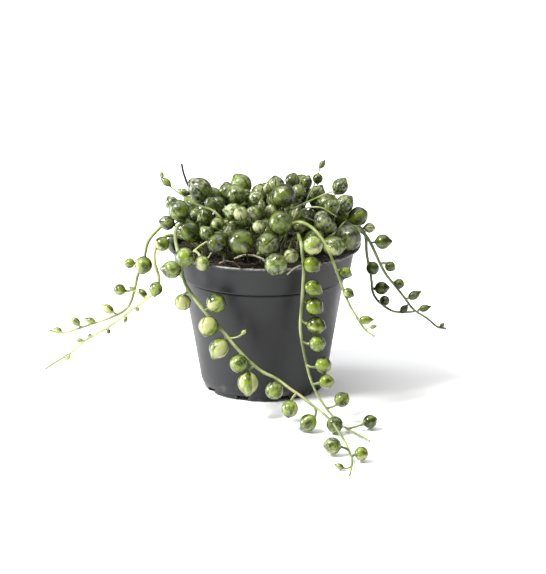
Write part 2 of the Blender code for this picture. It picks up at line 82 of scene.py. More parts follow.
# ---- trailing strands: the stem's route, then its leaves as x, y, z and diameter ----
STRANDS = {
    "front_right_strand": (
        [(8, -13, 48.5), (10.5, -20, 57.5), (12, -29, 58), (12.5, -33.5, 55.5), (13, -34.5, 49.5),
         (12.5, -34, 39), (12, -34, 30), (13, -34.5, 22.5), (14.5, -35.5, 16), (16, -37.5, 11.5),
         (18.5, -41, 7.5), (22.5, -44.5, 3), (26.5, -50, 1), (34, -63.5, 1)],
        [(16, -36.5, 58.5, 6.5), (15.5, -35, 51.5, 5.5), (16, -34.5, 43.5, 5.5),
         (16.5, -34.5, 37, 6), (17, -35, 31, 6), (17.5, -35.5, 25, 5.5), (19.5, -35.5, 17.5, 5.5),
         (20.5, -37.5, 12.5, 5), (25.5, -42.5, 8, 5), (34.5, -48.5, 2.5, 4.5)],
    ),
    "front_left_strand": (
        [(-17, -3, 48.5), (-23, -4, 54.5), (-27.5, -8, 57.5), (-29, -13, 56.5), (-28.8, -17, 54),
         (-28, -20, 51.5), (-27, -22.5, 47), (-26, -24.5, 43), (-24, -26, 39.5), (-18.5, -29, 33),
         (-13.5, -31, 28), (-9.5, -33, 23.5), (-5, -36, 19.5), (-0.5, -37.5, 16), (4, -40, 14.5),
         (8.5, -43, 12), (12, -46, 10.5), (15.5, -49, 8.5), (20, -52.5, 6), (22.5, -55, 4),
         (25, -60, 1.5), (26.5, -68, 1), (28, -82.5, 1), (27, -96.5, 1)],
        [(-15.5, -30, 37, 6.5), (-26.5, -24, 35.5, 5.5), (-18, -31, 29.5, 6.5),
         (-14.5, -33, 22.5, 6.5), (-8, -37, 18.5, 6), (-5, -38.5, 12.5, 7), (3.5, -42, 11, 6),
         (8.5, -49, 7, 5.5), (14.5, -51, 3, 5.5), (23, -53, 3, 5.5), (22, -74, 3, 5.5),
         (31, -80, 2.5, 4.5), (24, -88, 1, 2), (-6.5, -33, 28, 1.5)],
    ),
    "slim_right_strand": (
        [(2, -11, 48.5), (8.5, -14.5, 58.5), (12, -20, 61.5), (16, -27, 61.5), (20, -31, 57.5),
         (23, -34, 51), (26, -36, 43), (28, -37.5, 38.5), (30.5, -39, 34.5), (33, -40, 31),
         (36, -41, 29)],
        [(22.5, -31, 55.5, 4), (26.5, -34, 48.5, 4), (27.5, -37, 42.5, 3.5), (33, -39, 34, 3),
         (35.5, -40, 32, 1.5)],
    ),
    "outer_right_strand": (
        [(17, -3, 48.5), (28, -6, 56), (33, -6, 54), (35.5, -6, 50.5), (38, -6, 45),
         (40.5, -6, 40), (44, -6, 35.5), (47, -6, 31.5), (50, -6, 27.5), (54.5, -6, 24.5),
         (58, -6, 21.5), (61, -6, 21)],
        [(39.5, -6, 51, 5), (42, -6, 42.5, 3.5), (45, -6, 36.5, 3.5), (50, -6, 32.5, 3),
         (53.5, -6, 28, 2.5), (59.5, -6, 22, 1.5)],
    ),
    "back_right_strand": (
        [(20, 0.5, 48.5), (28, 1.5, 54), (33.5, 2.5, 52), (34.5, 3, 44), (36, 4, 36),
         (36.5, 4, 31), (38, 4, 28), (40.5, 3, 26), (43.5, 2, 24.5), (47.5, 1, 24.5),
         (50.5, 0, 25)],
        [(36.5, 4, 39, 4.5), (39.5, 4, 32, 4.5), (40.5, 1, 28.5, 3.5), (47, 1, 25.5, 2.5)],
    ),
    "upper_left_strand": (
        [(-18, 3, 48.5), (-25, 3, 55.5), (-31, 1, 57), (-35, -1, 54), (-38.5, -3, 50),
         (-40, -4, 43.5), (-42, -3, 38.5), (-43, -3, 34), (-45, -3, 28), (-49, -2, 24.5),
         (-56, -1, 21.5), (-61, 0, 19.5), (-67.5, 0, 17.5), (-72, 0, 18.5)],
        [(-40, -6, 43, 6), (-44.5, -4, 43, 3.5), (-48, -3, 33.5, 4), (-52, -2, 26.5, 3),
         (-58, -1, 22, 2.5), (-63, 0, 21.5, 2.5), (-69, 0, 18.5, 2)],
    ),
    "lower_left_strand": (
        [(-20, -7, 48.5), (-26, -7.5, 52.5), (-32, -9.5, 54), (-35.5, -13, 51), (-36, -15, 47),
         (-34.5, -16, 41), (-36, -15, 36.5), (-40, -12, 32), (-44.5, -9, 28), (-52, -3, 20.5),
         (-60, 3, 14), (-65.5, 8, 8), (-71.5, 12, 3), (-74.5, 11.5, 1)],
        [(-33.5, -14, 52.5, 5), (-35.5, -17, 38, 4.5), (-40, -12, 35, 2.5),
         (-43.5, -12, 36.5, 1.5), (-66.5, 8, 6.5, 2), (-62, 3, 14, 1.5), (-58.5, 3, 15.5, 1.5),
         (-52, -3, 19, 1.5), (-46, -9, 25, 1.5), (-42, -9, 28.5, 1.5)],
    ),
    "upper_left_shoot": (
        [(-7, -8, 48.5), (-12, -13, 58), (-16, -12, 63), (-19.5, -12, 64.5), (-24, -12, 66.5),
         (-29, -11, 70), (-32, -10, 72), (-33.5, -10, 74.5)],
        [(-32, -10, 72.5, 2.5), (-33.5, -10, 75, 1.5)],
    ),
    "left_rim_shoot": (
        [(-13, -13, 48.5), (-17, -18, 54.5), (-21.5, -24, 54), (-25.5, -25.5, 50),
         (-28.5, -26, 46)],
        [(-25.5, -30, 52.5, 6.5), (-30, -27, 47.5, 6), (-20, -29.5, 50.5, 5)],
    ),
    "top_right_runner": (
        [(3.3, -8, 48.5), (6.5, -9, 57), (8, -9, 62), (11, -8, 63.5), (17.5, -4, 65.5),
         (21, 0, 66), (23.5, 4.5, 65.5)],
        [],
    ),
    "right_runner": (
        [(6, -4, 48.5), (9, -7, 57), (13, -9.5, 63), (17.5, -10, 64), (20.5, -9.5, 63),
         (24, -7.5, 60)],
        [],
    ),
    "dry_twig": (
        [(-14, 10, 48), (-19, 14, 57), (-23.5, 15, 62), (-25.5, 15, 65), (-27, 14.5, 69.5),
         (-27.5, 14, 72.5)],
        [],
    ),
}

# ---- mound sprigs: each one's leaves from the lowest, as x, y, z and diameter ----
SPRIGS = {
    "top_left_sprig": [(-21.5, 9.5, 64.5, 8), (-26.5, 9, 64, 2.5)],
    "top_left_small_sprig": [(-15, -5, 64, 4.5), (-17.5, -8.5, 65, 4)],
    "left_edge_sprig": [(-32, -4, 57, 5), (-28, -6, 61.5, 7), (-30.5, 2, 62, 4.5)],
    "left_sprig": [(-24.3, -12, 56, 7), (-22.5, 0, 59, 4)],
    "left_inner_sprig": [(-18.5, -15, 56.5, 5), (-19.5, -9, 60.5, 5)],
    "front_left_sprig": [(-15.5, -22.5, 55, 7)],
    "pale_left_sprig": [(-14.5, -14, 60.5, 4.5), (-10, -12.5, 63, 6)],
    "front_sprig": [(-7.5, -25, 56.5, 8.5), (-11, -20, 58, 4.5)],
    "top_sprig": [(-6, 2.5, 64.5, 4.5), (-9, -4, 66.5, 6.5)],
    "striped_sprig": [(-1.5, -21.5, 60.5, 4.5), (-7.5, -18, 64, 5)],
    "pale_top_sprig": [(-3, -14, 63, 5.5), (-1, -14.5, 65.5, 2.5), (-2.5, -7.5, 66.5, 5)],
    "upright_bud_sprig": [(3, -12, 64, 4), (1, -3, 68.5, 2.5)],
    "front_centre_sprig": [(1.5, -26.5, 56, 8)],
    "large_centre_sprig": [(5.5, -23, 62, 8)],
    "large_top_sprig": [(6, -11, 67.5, 8), (10, 11, 67.5, 5)],
    "top_right_sprig": [(11.5, 4, 65.5, 5), (14.5, 11.5, 67, 4)],
    "tall_bud_sprig": [(17.5, 11, 68, 3.5), (19.5, 13, 72.5, 2)],
    "right_top_sprig": [(27.5, 8, 60.5, 6), (26, 9.5, 64.5, 5.5)],
    "right_pale_sprig": [(22.5, -4, 62.5, 5.5)],
    "right_edge_sprig": [(31.5, 8, 56, 6.5), (34.5, 7.5, 53, 3.5)],
    "large_right_sprig": [(27.5, -8, 54.5, 9)],
    "right_front_sprig": [(19.5, -15.5, 60.5, 5.5)],
    "right_low_sprig": [(23, -18.5, 53, 7)],
    "rim_sprig": [(9, -31.5, 53.5, 5), (4, -36.5, 52, 7.5)],
}

# ---- sprigs of the far side and the inside, which follow a rule: turns are in degrees ----
BACK_SPRIGS = 10
INNER_SPRIGS = 10
SPRIG_LEAVES = 3
BACK_START, BACK_SPAN, BACK_LEAN, BACK_SCATTER = 30, 120, 9, 3
INNER_START, GOLDEN_TURN, INNER_LEAN = 80, 137.5, 14
BACK_LOW, BACK_RISE = 0.31, 0.16  # shares of the mound's height
INNER_LOW, INNER_RISE = 0.38, 0.24
YIELD = 15.0  # how much more readily these make way than the listed sprigs

# The outside of the filled pot as radius and height, from the soil's middle to the underside.
OUTSIDE = [(0, SOIL_TOP_Z + SOIL_BUMP), (COLLAR_TOP_RADIUS - WALL - 0.4, SOIL_TOP_Z + SOIL_BUMP),
           (COLLAR_TOP_RADIUS - WALL, POT_HEIGHT - 1.7), (31.5, POT_HEIGHT),
           (RIM_RADIUS, POT_HEIGHT), (RIM_RADIUS, POT_HEIGHT - RIM_LIP),
           (COLLAR_TOP_RADIUS + 0.4, POT_HEIGHT - 1.4), (COLLAR_TOP_RADIUS, POT_HEIGHT - 2.1),
           (COLLAR_FOOT_RADIUS, COLLAR_FOOT_Z), (BODY_TOP_RADIUS, COLLAR_FOOT_Z),
           (BODY_FOOT_RADIUS, BODY_FOOT_Z), (BODY_FOOT_RADIUS - 0.6, UNDERSIDE_Z),
           (FOOT_RADIUS, UNDERSIDE_Z), (FOOT_RADIUS, 0), (0, 0)]

# ---------------------------------------------------------------- where everything lies


@dataclass
class PlantLayout:
    """The stems' routes and the leaves' settled places, found by the same rules as the solids.

    Attributes:
        strands: Name -> (route, leaves) of the strands that trail.
        sprigs: Name -> leaves of the sprigs that make the mound.
        rounds: How many times the leaves are pushed apart.
    """

    strands: dict = field(default_factory=lambda: dict(STRANDS))
    sprigs: dict = field(default_factory=lambda: dict(SPRIGS))
    rounds: int = 300

    def __post_init__(self) -> None:
        """Add the sprigs that follow a rule, then settle all the leaves."""
        self.sprigs.update(self.back_and_inner_sprigs())
        self.leaves = self.settle()

    @staticmethod
    def smooth_route(points: list, step: float) -> np.ndarray:
        """Return points about one step apart on a Catmull-Rom curve.

        Args:
            points: The points that the curve passes through.
            step: The distance between the points that are returned.

        Returns:
            The points as rows.
        """
        knots = [np.array(p, float) for p in points]
        knots = [2 * knots[0] - knots[1], *knots, 2 * knots[-1] - knots[-2]]
        route = []
        for a, b, c, d in zip(knots, knots[1:], knots[2:], knots[3:]):
            pieces = max(1, round(float(np.linalg.norm(c - b)) / step))
            for i in range(pieces):
                t = i / pieces
                route.append(0.5 * (2 * b + (c - a) * t + (2 * a - 5 * b + 4 * c - d) * t**2
                                    + (3 * b - a - 3 * c + d) * t**3))
        route.append(knots[-2])
        return np.array(route)

    @staticmethod
    def keep_clear(point: np.ndarray, radius: float) -> np.ndarray:
        """Return the point moved so that a ball of this radius clears the pot, soil and floor.

        Args:
            point: The ball's centre.
            radius: The ball's radius.

        Returns:
            The centre, moved out where it has to be.
        """
        x, y, z = point
        z = max(z, radius)
        rho = math.hypot(x, y)
        best = None
        inside = False
        for (r0, z0), (r1, z1) in zip(OUTSIDE, OUTSIDE[1:]):
            length = (r1 - r0) ** 2 + (z1 - z0) ** 2
            t = min(1.0, max(0.0, ((rho - r0) * (r1 - r0) + (z - z0) * (z1 - z0)) / length))
            near = (r0 + t * (r1 - r0), z0 + t * (z1 - z0))
            away = math.hypot(rho - near[0], z - near[1])
            if best is None or away < best[0]:
                best = (away, near)
            if (z0 > z) != (z1 > z) and rho < r0 + (z - z0) / (z1 - z0) * (r1 - r0):
                inside = not inside
        away, near = best
        need = radius + GAP
        if not inside and away >= need:
            return np.array([x, y, z])
        sign = -1.0 if inside else 1.0
        out = ((rho - near[0]) * sign, (z - near[1]) * sign)
        size = math.hypot(*out) or 1.0
        new_rho = near[0] + out[0] / size * need
        scale = new_rho / rho if rho else 1.0
        return np.array([x * scale, y * scale, max(near[1] + out[1] / size * need, radius)])

    @staticmethod
    def mound_point(azimuth: float, height: float, scale: float) -> tuple:
        """Return a point on the mound.

        Args:
            azimuth: The way round the pot, in degrees.
            height: The share of the mound's height.
            scale: The mound's size against its full one.

        Returns:
            The point.
        """
        angle = math.radians(azimuth)
        ring = math.sqrt(1 - height**2) * scale
        return (MOUND_CENTRE[0] + MOUND_RADII[0] * ring * math.cos(angle),
                MOUND_CENTRE[1] + MOUND_RADII[1] * ring * math.sin(angle),
                MOUND_CENTRE[2] + MOUND_RADII[2] * height * scale)

    def back_and_inner_sprigs(self) -> dict:
        """Return the sprigs of the far side and of the mound's inside, which follow a rule."""
        rng = np.random.default_rng(7)
        sprigs = {}
        for i in range(BACK_SPRIGS):
            azimuth = BACK_START + BACK_SPAN * i / (BACK_SPRIGS - 1)
            leaves = []
            for k in range(SPRIG_LEAVES):
                turn = azimuth + BACK_LEAN * (k % 2) + rng.uniform(-BACK_SCATTER, BACK_SCATTER)
                place = self.mound_point(turn, BACK_LOW + BACK_RISE * k, 1.0)
                leaves.append((*place, round(rng.uniform(4.8, 7.6), 1)))
            sprigs[f"back_sprig_{i + 1}"] = leaves
        for i in range(INNER_SPRIGS):
            leaves = []
            for k in range(SPRIG_LEAVES):
                turn = INNER_START + GOLDEN_TURN * i + INNER_LEAN * k
                place = self.mound_point(turn, INNER_LOW + INNER_RISE * k, 0.56 + 0.1 * (i % 3))
                leaves.append((*place, round(rng.uniform(4.6, 6.4), 1)))
            sprigs[f"inner_sprig_{i + 1}"] = leaves
        return sprigs

    @staticmethod
    def sprig_route(centres: list) -> np.ndarray:
        """Return a sprig's route, from the soil under the mound through its leaves.

        Args:
            centres: The leaves' centres, from the lowest.

        Returns:
            The foot, the knee and the centres as rows.
        """
        x, y, _ = centres[0]
        foot = (0.62 * x, 0.62 * y, SOIL_TOP_Z + SOIL_BUMP + GAP + 0.1)
        if math.hypot(x, y) > 26:
            knee = (0.84 * x, 0.84 * y, POT_HEIGHT + 4.5)
        else:
            under = max(centres[0][2] - 1.5, foot[2] + 1)
            knee = (0.75 * x, 0.75 * y, 0.4 * foot[2] + 0.6 * under)
        return np.array([foot, knee, *centres])

    @staticmethod
    def straight_samples(points: list, step: float) -> np.ndarray:
        """Return points about one step apart along straight runs.

        Args:
            points: The ends of the runs.
            step: The distance between the points that are returned.

        Returns:
            The points as rows.
        """
        samples = []
        for a, b in zip(points, points[1:]):
            a = np.array(a, float)
            b = np.array(b, float)
            pieces = max(1, math.ceil(float(np.linalg.norm(b - a)) / step))
            samples += [a + (b - a) * i / pieces for i in range(pieces)]
        return np.array([*samples, np.array(points[-1], float)])

    @staticmethod
    def stem_radius(name: str) -> float:
        """Return a stem's radius: shoots and the mound's sprigs are thinner."""
        return STEM_RADIUS if name.endswith("strand") else SHOOT_RADIUS

    def clear_route(self, route: list, radius: float, step: float) -> np.ndarray:
        """Return a smooth route's points, each moved clear of the pot, its soil and the floor."""
        return np.array([self.keep_clear(p, radius) for p in self.smooth_route(route, step)])

    def settle(self) -> dict:
        """Push leaves apart, and off stems, pot and floor, until a small gap is between them.

        Returns:
            Name -> list of (centre, diameter).
        """
        names = [*self.strands, *self.sprigs]
        leaves = {n: self.strands[n][1] if n in self.strands else self.sprigs[n] for n in names}
        centres = np.array([p[:3] for n in names for p in leaves[n]], float)
        radii = np.array([p[3] / 2 for n in names for p in leaves[n]])
        owner = np.array([i for i, n in enumerate(names) for _ in leaves[n]])
        slices = {n: np.flatnonzero(owner == i) for i, n in enumerate(names)}
        fixed = {n: self.clear_route(self.strands[n][0], self.stem_radius(n), SAMPLE_STEP)
                 for n in self.strands}
        rows = np.arange(len(centres))
        give = np.array([YIELD if names[i].startswith(("back_", "inner_")) else 1.0
                         for i in owner])
        share = give[:, None] / (give[:, None] + give[None])
        for _ in range(self.rounds):
            offset = centres[:, None] - centres[None]
            away = np.linalg.norm(offset, axis=2) + TINY
            short = np.maximum(radii[:, None] + radii[None] + GAP - away, 0)
            np.fill_diagonal(short, 0)
            centres += (offset / away[..., None] * (short * share)[..., None]).sum(axis=1)
            for i, name in enumerate(names):
                if name in fixed:
                    samples = fixed[name]
                else:
                    knots = self.sprig_route(centres[slices[name]])
                    samples = self.straight_samples(knots, SAMPLE_STEP)
                others = owner != i
                offset = centres[:, None] - samples[None]
                away = np.linalg.norm(offset, axis=2) + TINY
                nearest = away.argmin(axis=1)
                reach = radii + self.stem_radius(name) + GAP + STEM_GAP
                short = np.maximum(reach - away[rows, nearest], 0)
                push = offset[rows, nearest] / away[rows, nearest][:, None] * short[:, None]
                centres[others] += push[others]
            centres = np.array([self.keep_clear(c, r) for c, r in zip(centres, radii)])
        return {n: [(centres[k], 2 * radii[k]) for k in slices[n]] for n in names}


# ---------------------------------------------------------------- modelling by operators


class Bench:
    """Short names for the modelling operators, each starting from a clean selection."""

    @staticmethod
    def clear() -> None:
        """Leave edit mode and deselect everything."""
        if bpy.context.object and bpy.context.object.mode != "OBJECT":
            bpy.ops.object.mode_set(mode="OBJECT")
        bpy.ops.object.select_all(action="DESELECT")

    @staticmethod
    def only(obj: bpy.types.Object) -> None:
        """Select one object and make it the active one.

        Args:
            obj: The object.
        """
        Bench.clear()
        obj.select_set(True)
        bpy.context.view_layer.objects.active = obj

    @staticmethod
    def new(name: str) -> bpy.types.Object:
        """Name the object that an operator has just added.

        Args:
            name: The object's and its data's new name.

        Returns:
            The object.
        """
        obj = bpy.context.object
        obj.name = name
        obj.data.name = name
        return obj

    @staticmethod
    def apply_place(obj: bpy.types.Object) -> None:
        """Move an object's place, turn and scale into its mesh."""
        Bench.only(obj)
        bpy.ops.object.transform_apply(location=True, rotation=True, scale=True)

    @staticmethod
    def apply_modifiers(obj: bpy.types.Object) -> None:
        """Apply an object's modifiers in order.

        Args:
            obj: The object.
        """
        Bench.only(obj)
        for modifier in list(obj.modifiers):
            bpy.ops.object.modifier_apply(modifier=modifier.name)

    @staticmethod
    def join(objects: list, name: str) -> bpy.types.Object:
        """Join objects into one.

        Args:
            objects: The objects, of which the first takes in the others.
            name: The name of the joined object.

        Returns:
            The joined object.
        """
        Bench.clear()
        for obj in objects:
            obj.select_set(True)
        bpy.context.view_layer.objects.active = objects[0]
        if len(objects) > 1:
            bpy.ops.object.join()
        return Bench.new(name)

    @staticmethod
    def mend(obj: bpy.types.Object) -> None:
        """Merge an object's doubled points and point its faces outwards.

        Args:
            obj: The object.
        """
        Bench.only(obj)
        bpy.ops.object.mode_set(mode="EDIT")
        bpy.ops.mesh.select_all(action="SELECT")
        bpy.ops.mesh.remove_doubles(threshold=WELD)
        bpy.ops.mesh.normals_make_consistent(inside=False)
        bpy.ops.object.mode_set(mode="OBJECT")

    @staticmethod
    def smooth(obj: bpy.types.Object, degrees: float = 180.0) -> None:
        """Shade an object smooth.

        Args:
            obj: The object.
            degrees: Edges sharper than this stay sharp.
        """
        Bench.only(obj)
        if degrees >= 180:
            bpy.ops.object.shade_smooth()
        else:
            bpy.ops.object.shade_smooth_by_angle(angle=math.radians(degrees))

    @staticmethod
    def lathe(name: str, profile: list, steps: int) -> bpy.types.Object:
        """Turn a profile about the vertical axis.

        Args:
            name: The new object's name.
            profile: Radius and height of each point in millimetres.
            steps: How many steps make the full turn.

        Returns:
            The turned object, closed where the profile reaches the axis.
        """
        Bench.clear()
        bpy.ops.mesh.primitive_plane_add(size=1)
        obj = Bench.new(name)
        bpy.ops.object.mode_set(mode="EDIT")
        bpy.ops.mesh.select_all(action="SELECT")
        bpy.ops.mesh.merge(type="CENTER")
        first = Vector((profile[0][0], 0, profile[0][1])) * MM
        bpy.ops.transform.translate(value=first)
        for (r0, z0), (r1, z1) in zip(profile, profile[1:]):
            step = (MM * (r1 - r0), 0, MM * (z1 - z0))
            bpy.ops.mesh.extrude_region_move(TRANSFORM_OT_translate={"value": step})
        bpy.ops.mesh.select_all(action="SELECT")
        bpy.ops.mesh.spin(steps=steps, angle=2 * math.pi, center=(0, 0, 0), axis=(0, 0, 1))
        Bench.mend(obj)
        return obj

    @staticmethod
    def cut(obj: bpy.types.Object, cutter: bpy.types.Object) -> None:
        """Cut one object with another, and remove the cutter.

        Args:
            obj: The object that is cut.
            cutter: The object that is taken away from it.
        """
        modifier = obj.modifiers.new("Cut", "BOOLEAN")
        modifier.operation = "DIFFERENCE"
        modifier.solver = "EXACT"
        modifier.object = cutter
        Bench.apply_modifiers(obj)
        bpy.data.objects.remove(cutter)

    @staticmethod
    def tubes(name: str, paths: list, sides: int = 2) -> bpy.types.Object:
        """Make round tubes along paths, as one object.

        Args:
            name: The new object's name.
            paths: For each tube, its points with a radius each, in millimetres.
            sides: The curve's bevel resolution.

        Returns:
            The tubes as a mesh with closed ends.
        """
        Bench.clear()
        bpy.ops.curve.primitive_nurbs_path_add()
        obj = Bench.new(name)
        curve = obj.data
        curve.splines.clear()
        curve.dimensions = "3D"
        curve.bevel_depth = MM
        curve.bevel_resolution = sides
        curve.use_fill_caps = True
        for points, radii in paths:
            spline = curve.splines.new("POLY")
            spline.points.add(len(points) - 1)
            for spot, point, radius in zip(spline.points, points, radii):
                spot.co = (*(Vector(point) * MM), 1)
                spot.radius = radius
        Bench.only(obj)
        bpy.ops.object.convert(target="MESH")
        obj = Bench.new(name)
        Bench.mend(obj)
        Bench.smooth(obj, 60)
        return obj


def settle_piece(obj: bpy.types.Object, material: bpy.types.Material, slot: str,
                 *nodes: str) -> bpy.types.Object:
    """Dress a finished piece and hang it on the object's body.

    Args:
        obj: The piece.
        material: Its finish.
        slot: The record's material slot that the finish belongs to; not used.
        nodes: The solids that the piece stands for.

    Returns:
        The piece.
    """
    obj.data.materials.clear()
    obj.data.materials.append(material)
    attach(obj, BODY)
    if nodes:
        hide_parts(*nodes)
    LOG.info("%s: %d faces", obj.name, len(obj.data.polygons))
    return obj


# ---------------------------------------------------------------- finishes


def mottle_effect() -> bpy.types.ShaderNodeTree:
    """Return the shared effect that turns coordinates into a patchy mask, made only once."""
    found = bpy.data.node_groups.get("mottle")
    if found:
        return found
    tree = bpy.data.node_groups.new("mottle", "ShaderNodeTree")
    for name, kind in (("Place", "Vector"), ("Scale", "Float"), ("Detail", "Float"),
                       ("Rough", "Float"), ("Low", "Float"), ("High", "Float")):
        tree.interface.new_socket(name, in_out="INPUT", socket_type=f"NodeSocket{kind}")
    tree.interface.new_socket("Mask", in_out="OUTPUT", socket_type="NodeSocketFloat")
    inward = tree.nodes.new("NodeGroupInput").outputs
    outward = tree.nodes.new("NodeGroupOutput").inputs
    noisy = tree.nodes.new("ShaderNodeTexNoise")
    step = tree.nodes.new("ShaderNodeMapRange")
    step.interpolation_type = "SMOOTHSTEP"
    for source, target in (("Place", "Vector"), ("Scale", "Scale"), ("Detail", "Detail"),
                           ("Rough", "Roughness")):
        tree.links.new(inward[source], noisy.inputs[target])
    tree.links.new(noisy.outputs["Fac"], step.inputs["Value"])
    tree.links.new(inward["Low"], step.inputs["From Min"])
    tree.links.new(inward["High"], step.inputs["From Max"])
    tree.links.new(step.outputs["Result"], outward["Mask"])
    return tree


@dataclass
class NodeSheet:
    """A material's node tree, with short calls to add and join its nodes."""

    name: str

    def __post_init__(self) -> None:
        """Make the material with its Principled shader."""
        self.material = bpy.data.materials.new(self.name)
        self.material.use_nodes = True
        self.tree = self.material.node_tree
        self.shader = self.tree.nodes["Principled BSDF"]

    def node(self, kind: str, inputs: dict | None = None, **settings: object) -> bpy.types.Node:
        """Add a node.

        Args:
            kind: The node's type name.
            inputs: Input name or number -> constant value or the socket that feeds it.
            settings: The node's own settings.

        Returns:
            The node.
        """
        node = self.tree.nodes.new(kind)
        for key, value in settings.items():
            setattr(node, key, value)
        for key, value in (inputs or {}).items():
            self.feed(node.inputs[key], value)
        return node

    def feed(self, socket: bpy.types.NodeSocket, value: object) -> None:
        """Set a socket to a constant, or join it to the socket that feeds it.

        Args:
            socket: The input.
            value: The constant or the other socket.
        """
        if isinstance(value, bpy.types.NodeSocket):
            self.tree.links.new(value, socket)
        else:
            socket.default_value = value

    def maths(self, operation: str, a: object, b: object = 0.0) -> bpy.types.NodeSocket:
        """Return the result of a Math node."""
        return self.node("ShaderNodeMath", {0: a, 1: b}, operation=operation).outputs[0]

    def plus(self, a: object, b: object) -> bpy.types.NodeSocket:
        """Return a sum."""
        return self.maths("ADD", a, b)

    def minus(self, a: object, b: object) -> bpy.types.NodeSocket:
        """Return a difference."""
        return self.maths("SUBTRACT", a, b)

    def times(self, a: object, b: object) -> bpy.types.NodeSocket:
        """Return a product."""
        return self.maths("MULTIPLY", a, b)

    def ramp(self, value: object, low: float, high: float) -> bpy.types.NodeSocket:
        """Return a smooth step of a value.

        Args:
            value: The value.
            low: Where the step starts from 0.
            high: Where it reaches 1.

        Returns:
            The step, from 0 to 1.
        """
        node = self.node("ShaderNodeMapRange", {"Value": value, "From Min": low, "From Max": high},
                         interpolation_type="SMOOTHSTEP")
        return node.outputs["Result"]

    def mix(self, factor: object, a: object, b: object, blend: str = "MIX"
            ) -> bpy.types.NodeSocket:
        """Return the mix of two colours.

        Args:
            factor: The share of the second colour.
            a: The first colour.
            b: The second colour.
            blend: How they are mixed.

        Returns:
            The mixed colour.
        """
        node = self.node("ShaderNodeMix", data_type="RGBA", blend_type=blend)
        for index, value in ((0, factor), (6, a), (7, b)):
            self.feed(node.inputs[index], value)
        return node.outputs[2]

    def coat(self, colour: object, mask: object, strength: float, over: str
             ) -> bpy.types.NodeSocket:
        """Return a colour with a hex colour laid over it where a mask is high."""
        return self.mix(self.times(mask, strength), colour, shade(over))

    def grain(self, vector: object, scale: float, detail: float) -> bpy.types.NodeSocket:
        """Return noise between 0 and 1 that is finer at a larger scale."""
        return self.node("ShaderNodeTexNoise", {"Vector": vector, "Scale": scale,
                                                "Detail": detail}).outputs["Fac"]

    def mottle(self, place: object, scale: float, low: float, high: float, detail: float = 3.0,
               rough: float = 0.5) -> bpy.types.NodeSocket:
        """Return a patchy 0 to 1 mask from the shared mottle effect.

        Args:
            place: The coordinates that the patches lie in.
            scale: How small the patches are.
            low: The noise value where a patch starts.
            high: The noise value where a patch is full.
            detail: How many finer layers the noise has.
            rough: How strong the finer layers are.

        Returns:
            The mask.
        """
        node = self.node("ShaderNodeGroup", {"Place": place, "Scale": scale, "Detail": detail,
                                             "Rough": rough, "Low": low, "High": high},
                         node_tree=mottle_effect())
        return node.outputs["Mask"]

    def place(self) -> bpy.types.NodeSocket:
        """Return the object coordinates."""
        return self.node("ShaderNodeTexCoord").outputs["Object"]

    def bump(self, height: object, strength: float, distance: float) -> None:
        """Give the shader a bump.

        Args:
            height: The height that the bump follows.
            strength: How strong it is, from 0 to 1.
            distance: How high a full height stands, in metres.
        """
        node = self.node("ShaderNodeBump", {"Height": height, "Strength": strength,
                                            "Distance": distance})
        self.feed(self.shader.inputs["Normal"], node.outputs[0])

    def put(self, **values: object) -> None:
        """Set the shader's sockets, with _ in a name for a space."""
        for key, value in values.items():
            self.feed(self.shader.inputs[key.replace("_", " ")], value)


def shade(hexa: str) -> tuple[float, float, float, float]:
    """Return the linear colour of an sRGB hex code."""
    parts = [int(hexa[i:i + 2], 16) / 255 for i in (0, 2, 4)]
    return (*[c / 12.92 if c < 0.04045 else ((c + 0.055) / 1.055) ** 2.4 for c in parts], 1.0)


